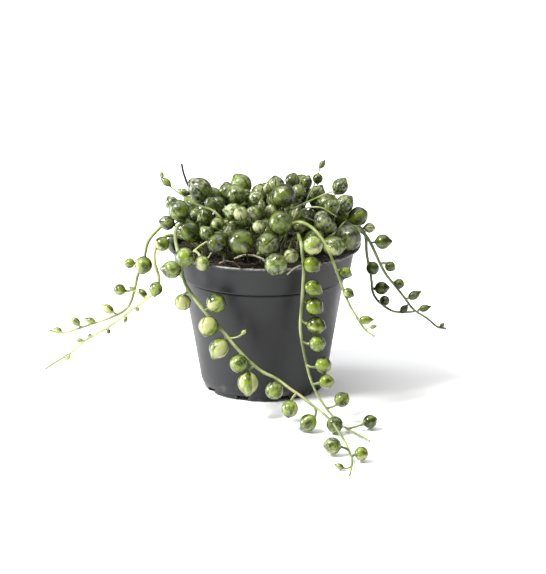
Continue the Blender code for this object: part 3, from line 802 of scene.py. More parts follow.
@dataclass(frozen=True)
class LeafFinish:
    """The leaf's skin: green with cream streaks, a dark window, a dark tip, a pale bloom that is
    partly painted reflection, and painted shade towards its outline.
    """

    deep: str = "2a3407"
    fresh: str = "6c7f1b"
    cream: str = "9da067"
    pale: str = "818d45"
    window: str = "151d07"
    tip: str = "453a1c"
    bloom_and_sheen: str = "b4bd9c"
    painted_edge_shade: str = "1a2206"
    shadow: str = "565c48"

    SEED_SPREAD = 61.0  # how far apart the noise of two leaves lies

    @staticmethod
    def streaks(sheet: NodeSheet, form: list, shift: object, amount: object
                ) -> bpy.types.NodeSocket:
        """Return how far a place lies inside a cream streak, below 0 for outside.

        Args:
            sheet: The material's node tree.
            form: X, Y and Z on the unit leaf.
            shift: The leaf's own offset in the noise.
            amount: How streaked the leaf is, from 0 to 1.

        Returns:
            The depth inside a streak.
        """
        x, y, z = form
        square = sheet.plus(sheet.times(x, x), sheet.plus(sheet.times(y, y), 0.002))
        ring = sheet.maths("SQRT", square)
        # The noise is stretched from base to tip, so that its patches become streaks.
        flow = sheet.node("ShaderNodeCombineXYZ", {
            0: sheet.plus(sheet.maths("DIVIDE", x, ring), shift),
            1: sheet.maths("DIVIDE", y, ring), 2: sheet.times(z, 0.35)}).outputs[0]
        sweep = sheet.plus(sheet.times(sheet.grain(flow, 1.15, 1.0), 0.68),
                           sheet.times(sheet.grain(flow, 4.2, 2.0), 0.32))
        cheek = sheet.times(sheet.ramp(x, -0.1, 0.75), sheet.times(amount, 0.40))
        return sheet.minus(sheet.plus(sweep, cheek), sheet.minus(0.84, sheet.times(amount, 0.28)))

    @staticmethod
    def slit(sheet: NodeSheet, form: list) -> bpy.types.NodeSocket:
        """Return the mask of the narrow window along a leaf's front.

        Args:
            sheet: The material's node tree.
            form: X, Y and Z on the unit leaf.

        Returns:
            The mask.
        """
        x, y, z = form
        span = sheet.minus(sheet.minus(1.0, sheet.times(z, z)), 0.28)
        half = sheet.times(sheet.maths("MAXIMUM", span, 0.0), 0.075)
        gap = sheet.minus(half, sheet.maths("ABSOLUTE", y))
        return sheet.times(sheet.ramp(gap, -0.008, 0.015), sheet.maths("GREATER_THAN", x, 0.0))

    def build(self) -> bpy.types.Material:
        """Return the finish as a material that reads the leaf_form and leaf_tone attributes."""
        sheet = NodeSheet("leaf_skin")
        place = sheet.node("ShaderNodeAttribute", attribute_name="leaf_form").outputs["Vector"]
        form = list(sheet.node("ShaderNodeSeparateXYZ", {0: place}).outputs)
        tone = sheet.node("ShaderNodeAttribute", attribute_name="leaf_tone").outputs
        seed, amount, dust_and_sheen = sheet.node("ShaderNodeSeparateColor", {0: tone["Color"]}).outputs
        shift = sheet.times(seed, self.SEED_SPREAD)
        aside = sheet.node("ShaderNodeCombineXYZ", {0: shift}).outputs[0]
        spot = sheet.node("ShaderNodeVectorMath", {0: place, 1: aside}, operation="ADD").outputs[0]
        colour = sheet.mix(sheet.mottle(spot, 0.9, 0.36, 0.64, 1.5), shade(self.deep),
                           shade(self.fresh))
        depth = self.streaks(sheet, form, shift, amount)
        colour = sheet.coat(colour, sheet.ramp(depth, -0.10, 0.03), 0.75, self.pale)
        colour = sheet.coat(colour, sheet.ramp(depth, -0.015, 0.05), 0.9, self.cream)
        # The grey-white mottle is partly waxy bloom and partly painted reflection.
        frosted_sheen = sheet.times(sheet.mottle(spot, 3.0, 0.44, 0.62, 4.0, 0.6), dust_and_sheen)
        colour = sheet.coat(colour, frosted_sheen, 0.8, self.bloom_and_sheen)
        colour = sheet.mix(self.slit(sheet, form), colour, shade(self.window))
        colour = sheet.coat(colour, sheet.ramp(form[2], 0.93, 0.995), 0.7, self.tip)
        deepen = sheet.mix(tone["Alpha"], (1, 1, 1, 1), shade(self.shadow))
        colour = sheet.mix(1.0, colour, deepen, "MULTIPLY")
        # Painted shade: the colour darkens towards each leaf's outline, where the surface turns
        # away from the eye.
        painted_edge_shade = sheet.node("ShaderNodeLayerWeight", {"Blend": 0.5}).outputs["Facing"]
        colour = sheet.coat(colour, sheet.ramp(painted_edge_shade, 0.38, 0.85), 0.85, self.painted_edge_shade)
        sheet.put(Base_Color=colour, Subsurface_Weight=0.12, Subsurface_Scale=0.001,
                  Subsurface_Radius=(0.8, 1.0, 0.35), Coat_Weight=0.35, Coat_Roughness=0.05,
                  Specular_IOR_Level=0.3, Roughness=sheet.plus(0.24, sheet.times(frosted_sheen, 0.3)))
        sheet.bump(sheet.grain(spot, 4.5, 3.0), 0.10, 0.0003)
        return sheet.material


@dataclass(frozen=True)
class StemFinish:
    """The stem's skin: pale yellow-green with darker stretches and a brown blush."""

    name: str = "stem_skin"
    pale: str = "a9b075"
    green: str = "6f7e3e"
    blush: str = "8f7a4c"

    def build(self) -> bpy.types.Material:
        """Return the finish as a material."""
        sheet = NodeSheet(self.name)
        place = sheet.place()
        colour = sheet.mix(sheet.mottle(place, 130.0, 0.38, 0.66), shade(self.green),
                           shade(self.pale))
        colour = sheet.coat(colour, sheet.mottle(place, 60.0, 0.60, 0.78, 4.0), 0.55, self.blush)
        sheet.put(Base_Color=colour, Roughness=0.45, Subsurface_Weight=0.12,
                  Subsurface_Scale=0.001, Subsurface_Radius=(0.9, 1.0, 0.4))
        sheet.bump(sheet.grain(place, 900.0, 2.0), 0.15, 0.0002)
        return sheet.material


@dataclass(frozen=True)
class PotFinish:
    """Thin dark grey plastic: satin, a little uneven, with soil dust on the foot, a pale lip band
    that is partly soil dust and partly painted highlight, and painted shade in the crease under
    the collar.
    """

    plastic: str = "17181a"
    worn: str = "202124"
    dust_and_sheen: str = "8d8a84"

    def build(self) -> bpy.types.Material:
        """Return the finish as a material."""
        sheet = NodeSheet("pot_plastic_skin")
        place = sheet.place()
        height = sheet.node("ShaderNodeSeparateXYZ", {0: place}).outputs[2]
        top = POT_HEIGHT * MM
        foot = COLLAR_FOOT_Z * MM
        colour = sheet.mix(sheet.mottle(place, 45.0, 0.35, 0.75, 4.0), shade(self.plastic),
                           shade(self.worn))
        # The top of the lip gets a speckled pale band: partly soil dust, partly a painted
        # highlight along the rim.
        lip_soil_and_highlight = sheet.times(sheet.ramp(height, top - 0.0011, top - 0.00025),
                            sheet.mottle(place, 420.0, 0.36, 0.60, 5.0, 0.65))
        colour = sheet.coat(colour, lip_soil_and_highlight, 0.8, self.dust_and_sheen)
        splash = sheet.times(sheet.minus(1.0, sheet.ramp(height, 0.001, 0.006)),
                             sheet.mottle(place, 260.0, 0.5, 0.66, 4.0, 0.6))
        colour = sheet.coat(colour, splash, 0.3, self.dust_and_sheen)
        # Painted shade: the crease under the collar has its shine lowered, as if little light
        # reached it.
        crease_shade = sheet.times(sheet.ramp(height, foot - 0.0013, foot - 0.0007),
                             sheet.minus(1.0, sheet.ramp(height, foot, foot + 0.0003)))
        cloud = sheet.mottle(place, 90.0, 0.3, 0.7, 5.0)
        sheet.put(Base_Color=colour,
                  Specular_IOR_Level=sheet.minus(0.36, sheet.times(crease_shade, 0.33)),
                  Roughness=sheet.plus(0.38, sheet.times(cloud, 0.1)))
        sheet.bump(sheet.grain(place, 1600.0, 2.0), 0.06, 0.0002)
        return sheet.material


@dataclass(frozen=True)
class CrumbFinish:
    """A loose mineral or plant crumb: two tones and a rough face."""

    name: str
    dark: str
    light: str
    scale: float = 500.0
    roughness: float = 0.92

    def build(self) -> bpy.types.Material:
        """Return the finish as a material."""
        sheet = NodeSheet(self.name)
        place = sheet.place()
        colour = sheet.mix(sheet.mottle(place, self.scale, 0.38, 0.68, 4.0, 0.6),
                           shade(self.dark), shade(self.light))
        sheet.put(Base_Color=colour, Roughness=self.roughness)
        sheet.bump(sheet.grain(place, 3 * self.scale, 3.0), 0.4, 0.0003)
        return sheet.material


# ---------------------------------------------------------------- the pot


@dataclass
class NurseryPot:
    """The thin turned pot, with a flared lip, a wide collar, notched feet and drain holes.

    Attributes:
        steps: Steps round the turned wall.
        notches: Gaps between the feet.
        notch_width: A gap's width in millimetres.
        holes: Drain holes.
        hole_radius: A hole's radius in millimetres.
        hole_circle: The radius of the ring that the holes lie on, in millimetres.
        edge: The width of the rounding along edges, in millimetres.
    """

    steps: int = 120
    notches: int = 9
    notch_width: float = 4.0
    holes: int = 6
    hole_radius: float = 2.0
    hole_circle: float = 11.5
    edge: float = 0.16

    @staticmethod
    def profile() -> list:
        """Return the wall's section from the floor's middle, over the rim, to the underside."""
        inside = [
            (0, FLOOR_TOP_Z), (FOOT_RADIUS - WALL, FLOOR_TOP_Z),
            (BODY_FOOT_RADIUS - WALL, BODY_FOOT_Z + WALL),
            (BODY_TOP_RADIUS - WALL, COLLAR_FOOT_Z + 0.5),
            (COLLAR_FOOT_RADIUS - WALL, COLLAR_FOOT_Z + 1.0),
            (COLLAR_TOP_RADIUS - WALL, POT_HEIGHT - 1.9)]
        lip = [
            (30.1, POT_HEIGHT - 0.95), (31.2, POT_HEIGHT - 0.25), (31.8, POT_HEIGHT),
            (32.3, POT_HEIGHT - 0.05), (RIM_RADIUS, POT_HEIGHT - 0.3),
            (32.35, POT_HEIGHT - 0.65), (31.5, POT_HEIGHT - 0.9)]
        collar = [
            (COLLAR_TOP_RADIUS + 0.4, POT_HEIGHT - 1.3),
            (COLLAR_TOP_RADIUS + 0.05, POT_HEIGHT - 1.9),
            (COLLAR_TOP_RADIUS - 0.1, POT_HEIGHT - 2.8),
            (COLLAR_FOOT_RADIUS + 0.03, COLLAR_FOOT_Z + 1.1),
            (COLLAR_FOOT_RADIUS - 0.02, COLLAR_FOOT_Z + 0.5),
            (COLLAR_FOOT_RADIUS - 0.25, COLLAR_FOOT_Z + 0.12),
            (COLLAR_FOOT_RADIUS - 0.6, COLLAR_FOOT_Z)]
        body = [
            (BODY_TOP_RADIUS + 0.15, COLLAR_FOOT_Z - 0.1), (BODY_TOP_RADIUS, COLLAR_FOOT_Z - 0.6),
            (BODY_FOOT_RADIUS + 0.06, BODY_FOOT_Z + 0.7),
            (BODY_FOOT_RADIUS - 0.15, BODY_FOOT_Z - 0.3),
            (BODY_FOOT_RADIUS - 0.6, UNDERSIDE_Z + 0.15)]
        underside = [
            (FOOT_RADIUS + 0.05, UNDERSIDE_Z - 0.1), (FOOT_RADIUS, 0), (FOOT_RADIUS - 2.4, 0),
            (FOOT_RADIUS - 2.7, UNDERSIDE_Z), (5.3, UNDERSIDE_Z), (5.0, 0), (0, 0)]
        return [*inside, *lip, *collar, *body, *underside]

    @staticmethod
    def around(count: int, shift: float, radius: float, height: float) -> list:
        """Return evenly spread places on a ring, each with its angle.

        Args:
            count: How many places.
            shift: How far the first is turned on, as a share of a step.
            radius: The ring's radius in millimetres.
            height: The ring's height in millimetres.

        Returns:
            Pairs of a place in metres and its angle in radians.
        """
        angles = [2 * math.pi * (i + shift) / count for i in range(count)]
        return [((math.cos(a) * radius * MM, math.sin(a) * radius * MM, height * MM), a)
                for a in angles]

    def build(self) -> bpy.types.Object:
        """Turn the wall, cut the foot notches and drain holes, and round the edges."""
        pot = Bench.lathe("pot_wall", self.profile(), self.steps)
        bits = []
        for spot, _ in self.around(self.holes, 0.37, self.hole_circle, UNDERSIDE_Z):
            Bench.clear()
            bpy.ops.mesh.primitive_cylinder_add(vertices=28, radius=self.hole_radius * MM,
                                                depth=5 * MM, location=spot)
            bits.append(bpy.context.object)
        for spot, angle in self.around(self.notches, 0.23, FOOT_RADIUS, 0):
            Bench.clear()
            bpy.ops.mesh.primitive_cube_add(size=1, location=spot, rotation=(0, 0, angle))
            bpy.context.object.scale = (8 * MM, self.notch_width * MM, 2.6 * MM)
            bits.append(bpy.context.object)
        for bit in bits:
            Bench.apply_place(bit)
        Bench.cut(pot, Bench.join(bits, "pot_cutters"))
        bevel = pot.modifiers.new("Edges", "BEVEL")
        bevel.width = self.edge * MM
        bevel.segments = 2
        bevel.limit_method = "ANGLE"
        bevel.angle_limit = math.radians(40)
        Bench.apply_modifiers(pot)
        Bench.smooth(pot, 40)
        return settle_piece(pot, PotFinish().build(), "pot_plastic", "nursery_pot")


# ---------------------------------------------------------------- the soil


@dataclass(frozen=True)
class Scatter:
    """One kind of loose grain on the soil.

    Attributes:
        name: The piece's name.
        count: How many grains.
        low: The smallest radius in millimetres.
        high: The largest radius in millimetres.
        flat: How flat the grains lie, from 0 to 1.
        finish: The grains' finish.
    """

    name: str
    count: int
    low: float
    high: float
    flat: float
    finish: CrumbFinish


@dataclass
class PottingSoil:
    """Dark crumbly soil with grit, bark, pale perlite, dry fibres and loose roots.

    Attributes:
        seed: The seed of the scatter.
        fibres: How many dry fibres lie on top.
        rings: Rings of faces on the top.
        steps: Steps round the soil.
        reach: The radius within which things lie on the soil, in millimetres.
    """

    SCATTERS = (
        Scatter("soil_crumbs", 620, 0.25, 0.75, 0.3,
                CrumbFinish("crumb_skin", "0e0b08", "31251b", 300)),
        Scatter("bark_chips", 95, 0.35, 0.95, 0.75,
                CrumbFinish("bark_skin", "2c2016", "775b3e", 420)),
        Scatter("perlite_grains", 64, 0.18, 0.5, 0.2,
                CrumbFinish("perlite_skin", "9b948a", "cfcac0", 700)),
    )
    # Each root's radius and the points that it runs through, in millimetres.
    ROOTS = ((0.2, ((-19.4, -24.2, 47.6), (-19.2, -25.9, 49.4), (-18.2, -24.4, 50.6),
                    (-16.9, -21.2, 51.9))),
             (0.26, ((12.4, -26, 48.4), (11.8, -30.4, 49.9), (9.8, -32.3, 49.5),
                     (7.6, -33.1, 47.6))),
             (0.4, ((-9.5, -13, 47.2), (-6.3, -15.5, 49.3), (-3.1, -17.2, 49.4),
                    (-0.3, -18.4, 48.6), (1.5, -19.5, 46.9))),
             (0.18, ((-14.5, -17, 46.8), (-12.6, -19.5, 48.4), (-9.9, -21.6, 48.6),
                     (-7.6, -22.4, 46.9))),
             (0.15, ((-22.5, -12.5, 46.8), (-20.6, -15.2, 48.7), (-19.7, -18.1, 48.9),
                     (-18.4, -20.4, 47))))

    seed: int = 11
    fibres: int = 30
    rings: int = 46
    steps: int = 110
    reach: float = 28.2

    @staticmethod
    def lie(x: float, y: float) -> float:
        """Return the soil's height at a place.

        Args:
            x: The place across, in millimetres.
            y: The place in depth, in millimetres.

        Returns:
            The height in millimetres.
        """
        low = noise.fractal(Vector((x * 0.16, y * 0.16, 1.7)), 1.0, 2.0, 3)
        high = noise.fractal(Vector((x * 0.9, y * 0.9, 5.1)), 0.8, 2.1, 4)
        return SOIL_TOP_Z - 0.1 + 0.45 * low + 0.5 * high

    def body(self) -> bpy.types.Object:
        """Return the soil's closed body, whose top is uneven."""
        edge = COLLAR_TOP_RADIUS - WALL - GAP
        top = [(edge * i / self.rings, SOIL_TOP_Z) for i in range(self.rings + 1)]
        profile = [*top, (COLLAR_FOOT_RADIUS - 1.2, COLLAR_FOOT_Z + 1.8),
                   (BODY_TOP_RADIUS - 1.3, COLLAR_FOOT_Z + 0.8),
                   (BODY_FOOT_RADIUS - 1.2, BODY_FOOT_Z + 1.3),
                   (FOOT_RADIUS - 1.6, FLOOR_TOP_Z + 0.45), (0, FLOOR_TOP_Z + 0.35)]
        soil = Bench.lathe("soil_body", profile, self.steps)
        for vertex in soil.data.vertices:
            x, y, z = vertex.co / MM
            if z > SOIL_TOP_Z - 0.01:
                vertex.co.z = self.lie(x, y) * MM
        Bench.smooth(soil, 50)
        return soil

    def grains(self, kind: Scatter, rng: np.random.Generator) -> bpy.types.Object:
        """Scatter rough grains over the soil.

        Args:
            kind: The grains.
            rng: The random source.

        Returns:
            The grains as one object.
        """
        masters = []
        for i in range(6):
            Bench.clear()
            finer = 2 if kind.count < 100 else 1
            bpy.ops.mesh.primitive_ico_sphere_add(subdivisions=finer, radius=1)
            for vertex in bpy.context.object.data.vertices:
                vertex.co *= 1 + 0.38 * noise.noise(vertex.co * 1.7 + Vector((9.0 * i, 0, 0)))
            masters.append(bpy.context.object)
        copies = []
        for _ in range(kind.count):
            master = masters[rng.integers(len(masters))]
            size = rng.uniform(kind.low, kind.high) * (0.6 + 0.4 * rng.random())
            radius = self.reach * math.sqrt(rng.random())
            angle = rng.uniform(0, 2 * math.pi)
            x, y = radius * math.cos(angle), radius * math.sin(angle)
            grain = master.copy()
            grain.data = master.data.copy()
            bpy.context.collection.objects.link(grain)
            turn = Matrix.Rotation(rng.uniform(0, 6.28), 4, "Z") @ Matrix.Rotation(
                rng.uniform(-0.9, 0.9), 4, "X")
            stretch = Matrix.Diagonal((size, size * rng.uniform(0.6, 1.0),
                                       size * (1 - kind.flat * rng.random()), 1))
            place = Matrix.Translation(Vector((x, y, self.lie(x, y) + 0.25 * size)))
            grain.data.transform(Matrix.Scale(MM, 4) @ place @ turn @ stretch)
            copies.append(grain)
        for master in masters:
            bpy.data.objects.remove(master)
        piece = Bench.join(copies, kind.name)
        Bench.smooth(piece, 35)
        return piece

    def threads(self, rng: np.random.Generator) -> bpy.types.Object:
        """Return the dry fibres that lie across the soil.

        Args:
            rng: The random source.

        Returns:
            The fibres as one object.
        """
        paths = []
        for _ in range(self.fibres):
            radius = 27 * math.sqrt(rng.random())
            angle = rng.uniform(0, 2 * math.pi)
            heading = rng.uniform(0, 2 * math.pi)
            x, y = radius * math.cos(angle), radius * math.sin(angle)
            thick = rng.uniform(0.09, 0.22)
            points = []
            for k in range(7):
                if math.hypot(x, y) > self.reach:
                    break
                lift = thick + 0.25 * abs(math.sin(k * 1.3 + heading))
                points.append((x, y, self.lie(x, y) + lift))
                heading += rng.uniform(-0.5, 0.5)
                x += math.cos(heading) * 0.9
                y += math.sin(heading) * 0.9
            if len(points) > 2:
                paths.append((points, [thick * (1 - 0.1 * k) for k in range(len(points))]))
        return Bench.tubes("soil_fibres", paths, 1)

    def build(self) -> None:
        """Build the soil and what lies on it."""
        rng = np.random.default_rng(self.seed)
        dark = CrumbFinish("soil_skin", "0b0907", "261c14").build()
        settle_piece(self.body(), dark, "soil", "potting_soil")
        for kind in self.SCATTERS:
            settle_piece(self.grains(kind, rng), kind.finish.build(), "soil")
        settle_piece(self.threads(rng), CrumbFinish("fibre_skin", "57452f", "a48e6e", 400).build(),
                     "soil")
        paths = [(line, [thick] * len(line)) for thick, line in self.ROOTS]
        settle_piece(Bench.tubes("loose_roots", paths, 1),
                     CrumbFinish("root_skin", "aaa17c", "dbd6b8", 500).build(), "soil")


# ---------------------------------------------------------------- the leaves


class LeafForm(Enum):
    """The shapes a leaf grows in: (beak length, length against width, slit depth)."""

    ROUND = (0.13, 1.01, 0.07)
    BEAKED = (0.2, 1.03, 0.05)
    PLUMP = (0.09, 0.97, 0.09)
    EGG = (0.15, 1.07, 0.05)
    BUD = (0.34, 1.4, 0.0)


@dataclass
class LeafMaker:
    """Models each leaf form once, round a unit radius, with its tip up and its slit at +X.

    Attributes:
        sides: Faces round a leaf.
        rings: Faces from base to tip.
    """

    sides: int = 24
    rings: int = 14

    def __post_init__(self) -> None:
        """Model the forms."""
        self.masters = {form: self.model(form) for form in LeafForm}

    def model(self, form: LeafForm) -> bpy.types.Object:
        """Model one form from a sphere: pull its beak, press in its slit, narrow its base.

        Args:
            form: The form to model.

        Returns:
            The master leaf, with the leaf_form attribute.
        """
        beak, length, slit = form.value
        Bench.clear()
        bpy.ops.mesh.primitive_uv_sphere_add(segments=self.sides, ring_count=self.rings, radius=1)
        leaf = Bench.new(f"leaf_{form.name.lower()}")
        mesh = leaf.data
        step = math.pi / self.rings
        for count, pull in ((2, 0.12), (1, 0.33), (0, 0.75)):
            self.pick(leaf, lambda co, c=count: co.z > math.cos(step * (c + 0.5)) - 1e-6)
            bpy.ops.transform.translate(value=(0, 0, beak * pull))
            if count == 1:
                bpy.ops.transform.resize(value=(1 - 1.3 * beak, 1 - 1.3 * beak, 1),
                                         center_override=(0, 0, 0))
            bpy.ops.object.mode_set(mode="OBJECT")
        self.pick(leaf, lambda co: co.z < -math.cos(step * 1.5))
        bpy.ops.transform.translate(value=(0, 0, -0.05))
        bpy.ops.object.mode_set(mode="OBJECT")
        if slit:
            turn = 2 * math.pi / self.sides
            self.pick(leaf, lambda co: co.x > 0 and abs(math.atan2(co.y, co.x)) < 0.2 * turn
                      and abs(co.z) < 0.82)
            bpy.ops.transform.resize(value=(1 - slit, 1, 1), center_override=(0, 0, 0))
            bpy.ops.object.mode_set(mode="OBJECT")
        mesh.color_attributes.new("leaf_tone", "FLOAT_COLOR", "POINT")
        mesh.attributes.new("leaf_form", "FLOAT_VECTOR", "POINT")
        flow = [c for vertex in mesh.vertices for c in vertex.co.normalized()]
        mesh.attributes["leaf_form"].data.foreach_set("vector", flow)
        mesh.transform(Matrix.Diagonal((1, 1, length, 1)))
        Bench.smooth(leaf)
        return leaf

    @staticmethod
    def pick(obj: bpy.types.Object, test: Callable[[Vector], bool]) -> None:
        """Enter edit mode with only some points selected.

        Args:
            obj: The object.
            test: Whether a point at a place is selected.
        """
        Bench.only(obj)
        bpy.ops.object.mode_set(mode="EDIT")
        bpy.ops.mesh.select_mode(type="VERT")
        bpy.ops.mesh.select_all(action="DESELECT")
        bpy.ops.object.mode_set(mode="OBJECT")
        for vertex in obj.data.vertices:
            vertex.select = test(vertex.co)
        bpy.ops.object.mode_set(mode="EDIT")

    def copy(self, form: LeafForm, place: Matrix, tone: tuple) -> bpy.types.Object:
        """Return a copy of a form with its own mesh, set in place.

        Args:
            form: The form to copy.
            place: Where the unit leaf goes, in millimetres.
            tone: Seed, cream streaks, bloom with painted reflection, and darkness, each from 0 to
                1.

        Returns:
            The leaf.
        """
        master = self.masters[form]
        leaf = master.copy()
        leaf.data = master.data.copy()
        bpy.context.collection.objects.link(leaf)
        leaf.data.transform(Matrix.Scale(MM, 4) @ place)
        colours = np.tile(np.array(tone, np.float32), len(leaf.data.vertices))
        leaf.data.color_attributes["leaf_tone"].data.foreach_set("color", colours)
        return leaf

    def clear_away(self) -> None:
        """Remove the master leaves."""
        for master in self.masters.values():
            bpy.data.objects.remove(master)


# ---------------------------------------------------------------- strands and sprigs


@dataclass
class StrandLook:
    """How a strand's leaves look: cream streaks, bloom with painted reflection, and darkness, each
    from 0 to 1.
    """

    streaks: float = 0.45
    bloom_and_sheen: float = 0.2
    dark: float = 0.0


@dataclass
class Strand:
    """One stem with its leaves, each on a short stalk.

    Attributes:
        name: The solid that the strand stands for.
        route: The stem's points in millimetres.
        radius: The stem's radius at its foot.
        leaves: Centre and diameter of each leaf.
        look: How the leaves look.
        facing: The way that the leaves' slits turn.
        rng: The random source.
        mound: Whether it is a sprig of the mound, whose leaves point outwards.
    """

    BUD_LIMIT = 3.2  # leaves with a smaller diameter are buds
    MOUND_EYE = (MOUND_CENTRE[0], MOUND_CENTRE[1], 50.0)  # the mound's leaves point away from here

    name: str
    route: np.ndarray
    radius: float
    leaves: list
    look: StrandLook
    facing: Vector
    rng: np.random.Generator
    mound: bool = False

    def stem_radii(self) -> list:
        """Return the stem's radius at each point: it thins towards its tip."""
        count = len(self.route)
        foot = self.radius * (0.72 if self.mound else 0.84)
        return [foot * (1 - 0.45 * (i / max(count - 1, 1)) ** 1.3) for i in range(count)]

    def frame_leaf(self, centre: np.ndarray) -> tuple[Vector, Vector]:
        """Return how a leaf stands on its stem.

        Args:
            centre: The leaf's centre.

        Returns:
            Where its stalk leaves the stem, and the way that the leaf points.
        """
        away = np.linalg.norm(self.route - centre, axis=1)
        nearest = int(away.argmin())
        if self.mound:
            root = Vector(self.route[nearest])
            out = Vector(centre) - Vector(self.MOUND_EYE)
            out = out.normalized() + Vector((0, 0, 0.45)) + 0.4 * Vector(self.rng.normal(size=3))
            return root, out.normalized()
        root = Vector(self.route[max(nearest - 1, 0)])
        out = (Vector(centre) - root).normalized() + 0.22 * Vector(self.rng.normal(size=3))
        return root, out.normalized()

    def grow(self, maker: LeafMaker, stem_skin: bpy.types.Material,
             leaf_skin: bpy.types.Material) -> None:
        """Build the strand's stem, stalks and leaves.

        Args:
            maker: The leaf forms.
            stem_skin: The stem's finish.
            leaf_skin: The leaves' finish.
        """
        paths = [(self.route, self.stem_radii())]
        blades = []
        for index, (centre, diameter) in enumerate(self.leaves):
            root, out = self.frame_leaf(centre)
            half = diameter / 2
            form = self.choose_form(diameter)
            length = form.value[1]
            base = Vector(centre) - out * half * length * 0.97
            paths.append(self.stalk(root, base, out, diameter))
            side = self.facing + 0.35 * Vector(self.rng.normal(size=3))
            side = (side - out * side.dot(out)).normalized()
            turn = Matrix((side, out.cross(side), out)).transposed().to_4x4()
            place = Matrix.Translation(Vector(centre)) @ turn @ Matrix.Scale(half, 4)
            blades.append(maker.copy(form, place, self.tone(index)))
        stem = Bench.tubes(f"{self.name}_stem", paths)
        settle_piece(stem, stem_skin, "leaf", self.name)
        if blades:
            piece = Bench.join(blades, f"{self.name}_leaves")
            settle_piece(piece, leaf_skin, "leaf", self.name)

    def choose_form(self, diameter: float) -> LeafForm:
        """Return a form for a leaf.

        Args:
            diameter: The leaf's diameter in millimetres.

        Returns:
            The form.
        """
        if diameter < self.BUD_LIMIT:
            return LeafForm.BUD
        forms = [LeafForm.ROUND, LeafForm.BEAKED, LeafForm.PLUMP]
        if self.mound:
            forms.insert(2, LeafForm.EGG)
        return forms[self.rng.integers(len(forms))]

    def tone(self, index: int) -> tuple:
        """Return a leaf's tone.

        Args:
            index: The leaf's number on the stem.

        Returns:
            Its seed, streaks, bloom with painted reflection, and darkness.
        """
        streaks = PALE_LEAVES.get((self.name, index), self.look.streaks)
        return (self.rng.random(), min(1.0, max(0.0, streaks + 0.18 * self.rng.normal())),
                min(1.0, max(0.0, self.look.bloom_and_sheen + 0.2 * self.rng.normal())), self.look.dark)

    @staticmethod
    def stalk(root: Vector, base: Vector, out: Vector, diameter: float) -> tuple:
        """Return a leaf's stalk, which curves and flares into the leaf.

        Args:
            root: Where it leaves the stem.
            base: Where it meets the leaf.
            out: The way that the leaf points.
            diameter: The leaf's diameter.

        Returns:
            The stalk's points and their radii.
        """
        thick = min(0.42, 0.1 * diameter + 0.1)
        reach = (base - root).length
        bend = base - out * 0.45 * reach
        inside = base + out * 0.12 * diameter
        points, radii = [], []
        for i in range(7):
            t = i / 6
            point = (1 - t) ** 2 * root + 2 * t * (1 - t) * bend + t**2 * base
            points.append(point)
            radii.append(thick * (1.15 - 0.5 * t + 0.75 * t**4))
        return [*points, inside], [*radii, thick * 1.6]


# Streaks of single leaves that stand out from the rest, by name and number on the stem.
PALE_LEAVES = {("front_left_strand", 5): 0.95, ("front_left_strand", 1): 0.9,
               ("front_left_strand", 3): 0.7, ("front_left_strand", 2): 0.75,
               ("front_left_strand", 10): 0.85, ("front_right_strand", 0): 0.62,
               ("large_centre_sprig", 0): 0.1, ("large_right_sprig", 0): 0.05,
               ("front_centre_sprig", 0): 0.05, ("large_top_sprig", 0): 0.1,
               ("left_sprig", 0): 0.1, ("top_left_sprig", 0): 0.2, ("striped_sprig", 0): 0.72,
               ("front_right_strand", 1): 0.6, ("slim_right_strand", 0): 0.7,
               ("rim_sprig", 0): 0.75, ("right_low_sprig", 0): 0.45,
               ("front_left_sprig", 0): 0.15, ("front_sprig", 0): 0.15}


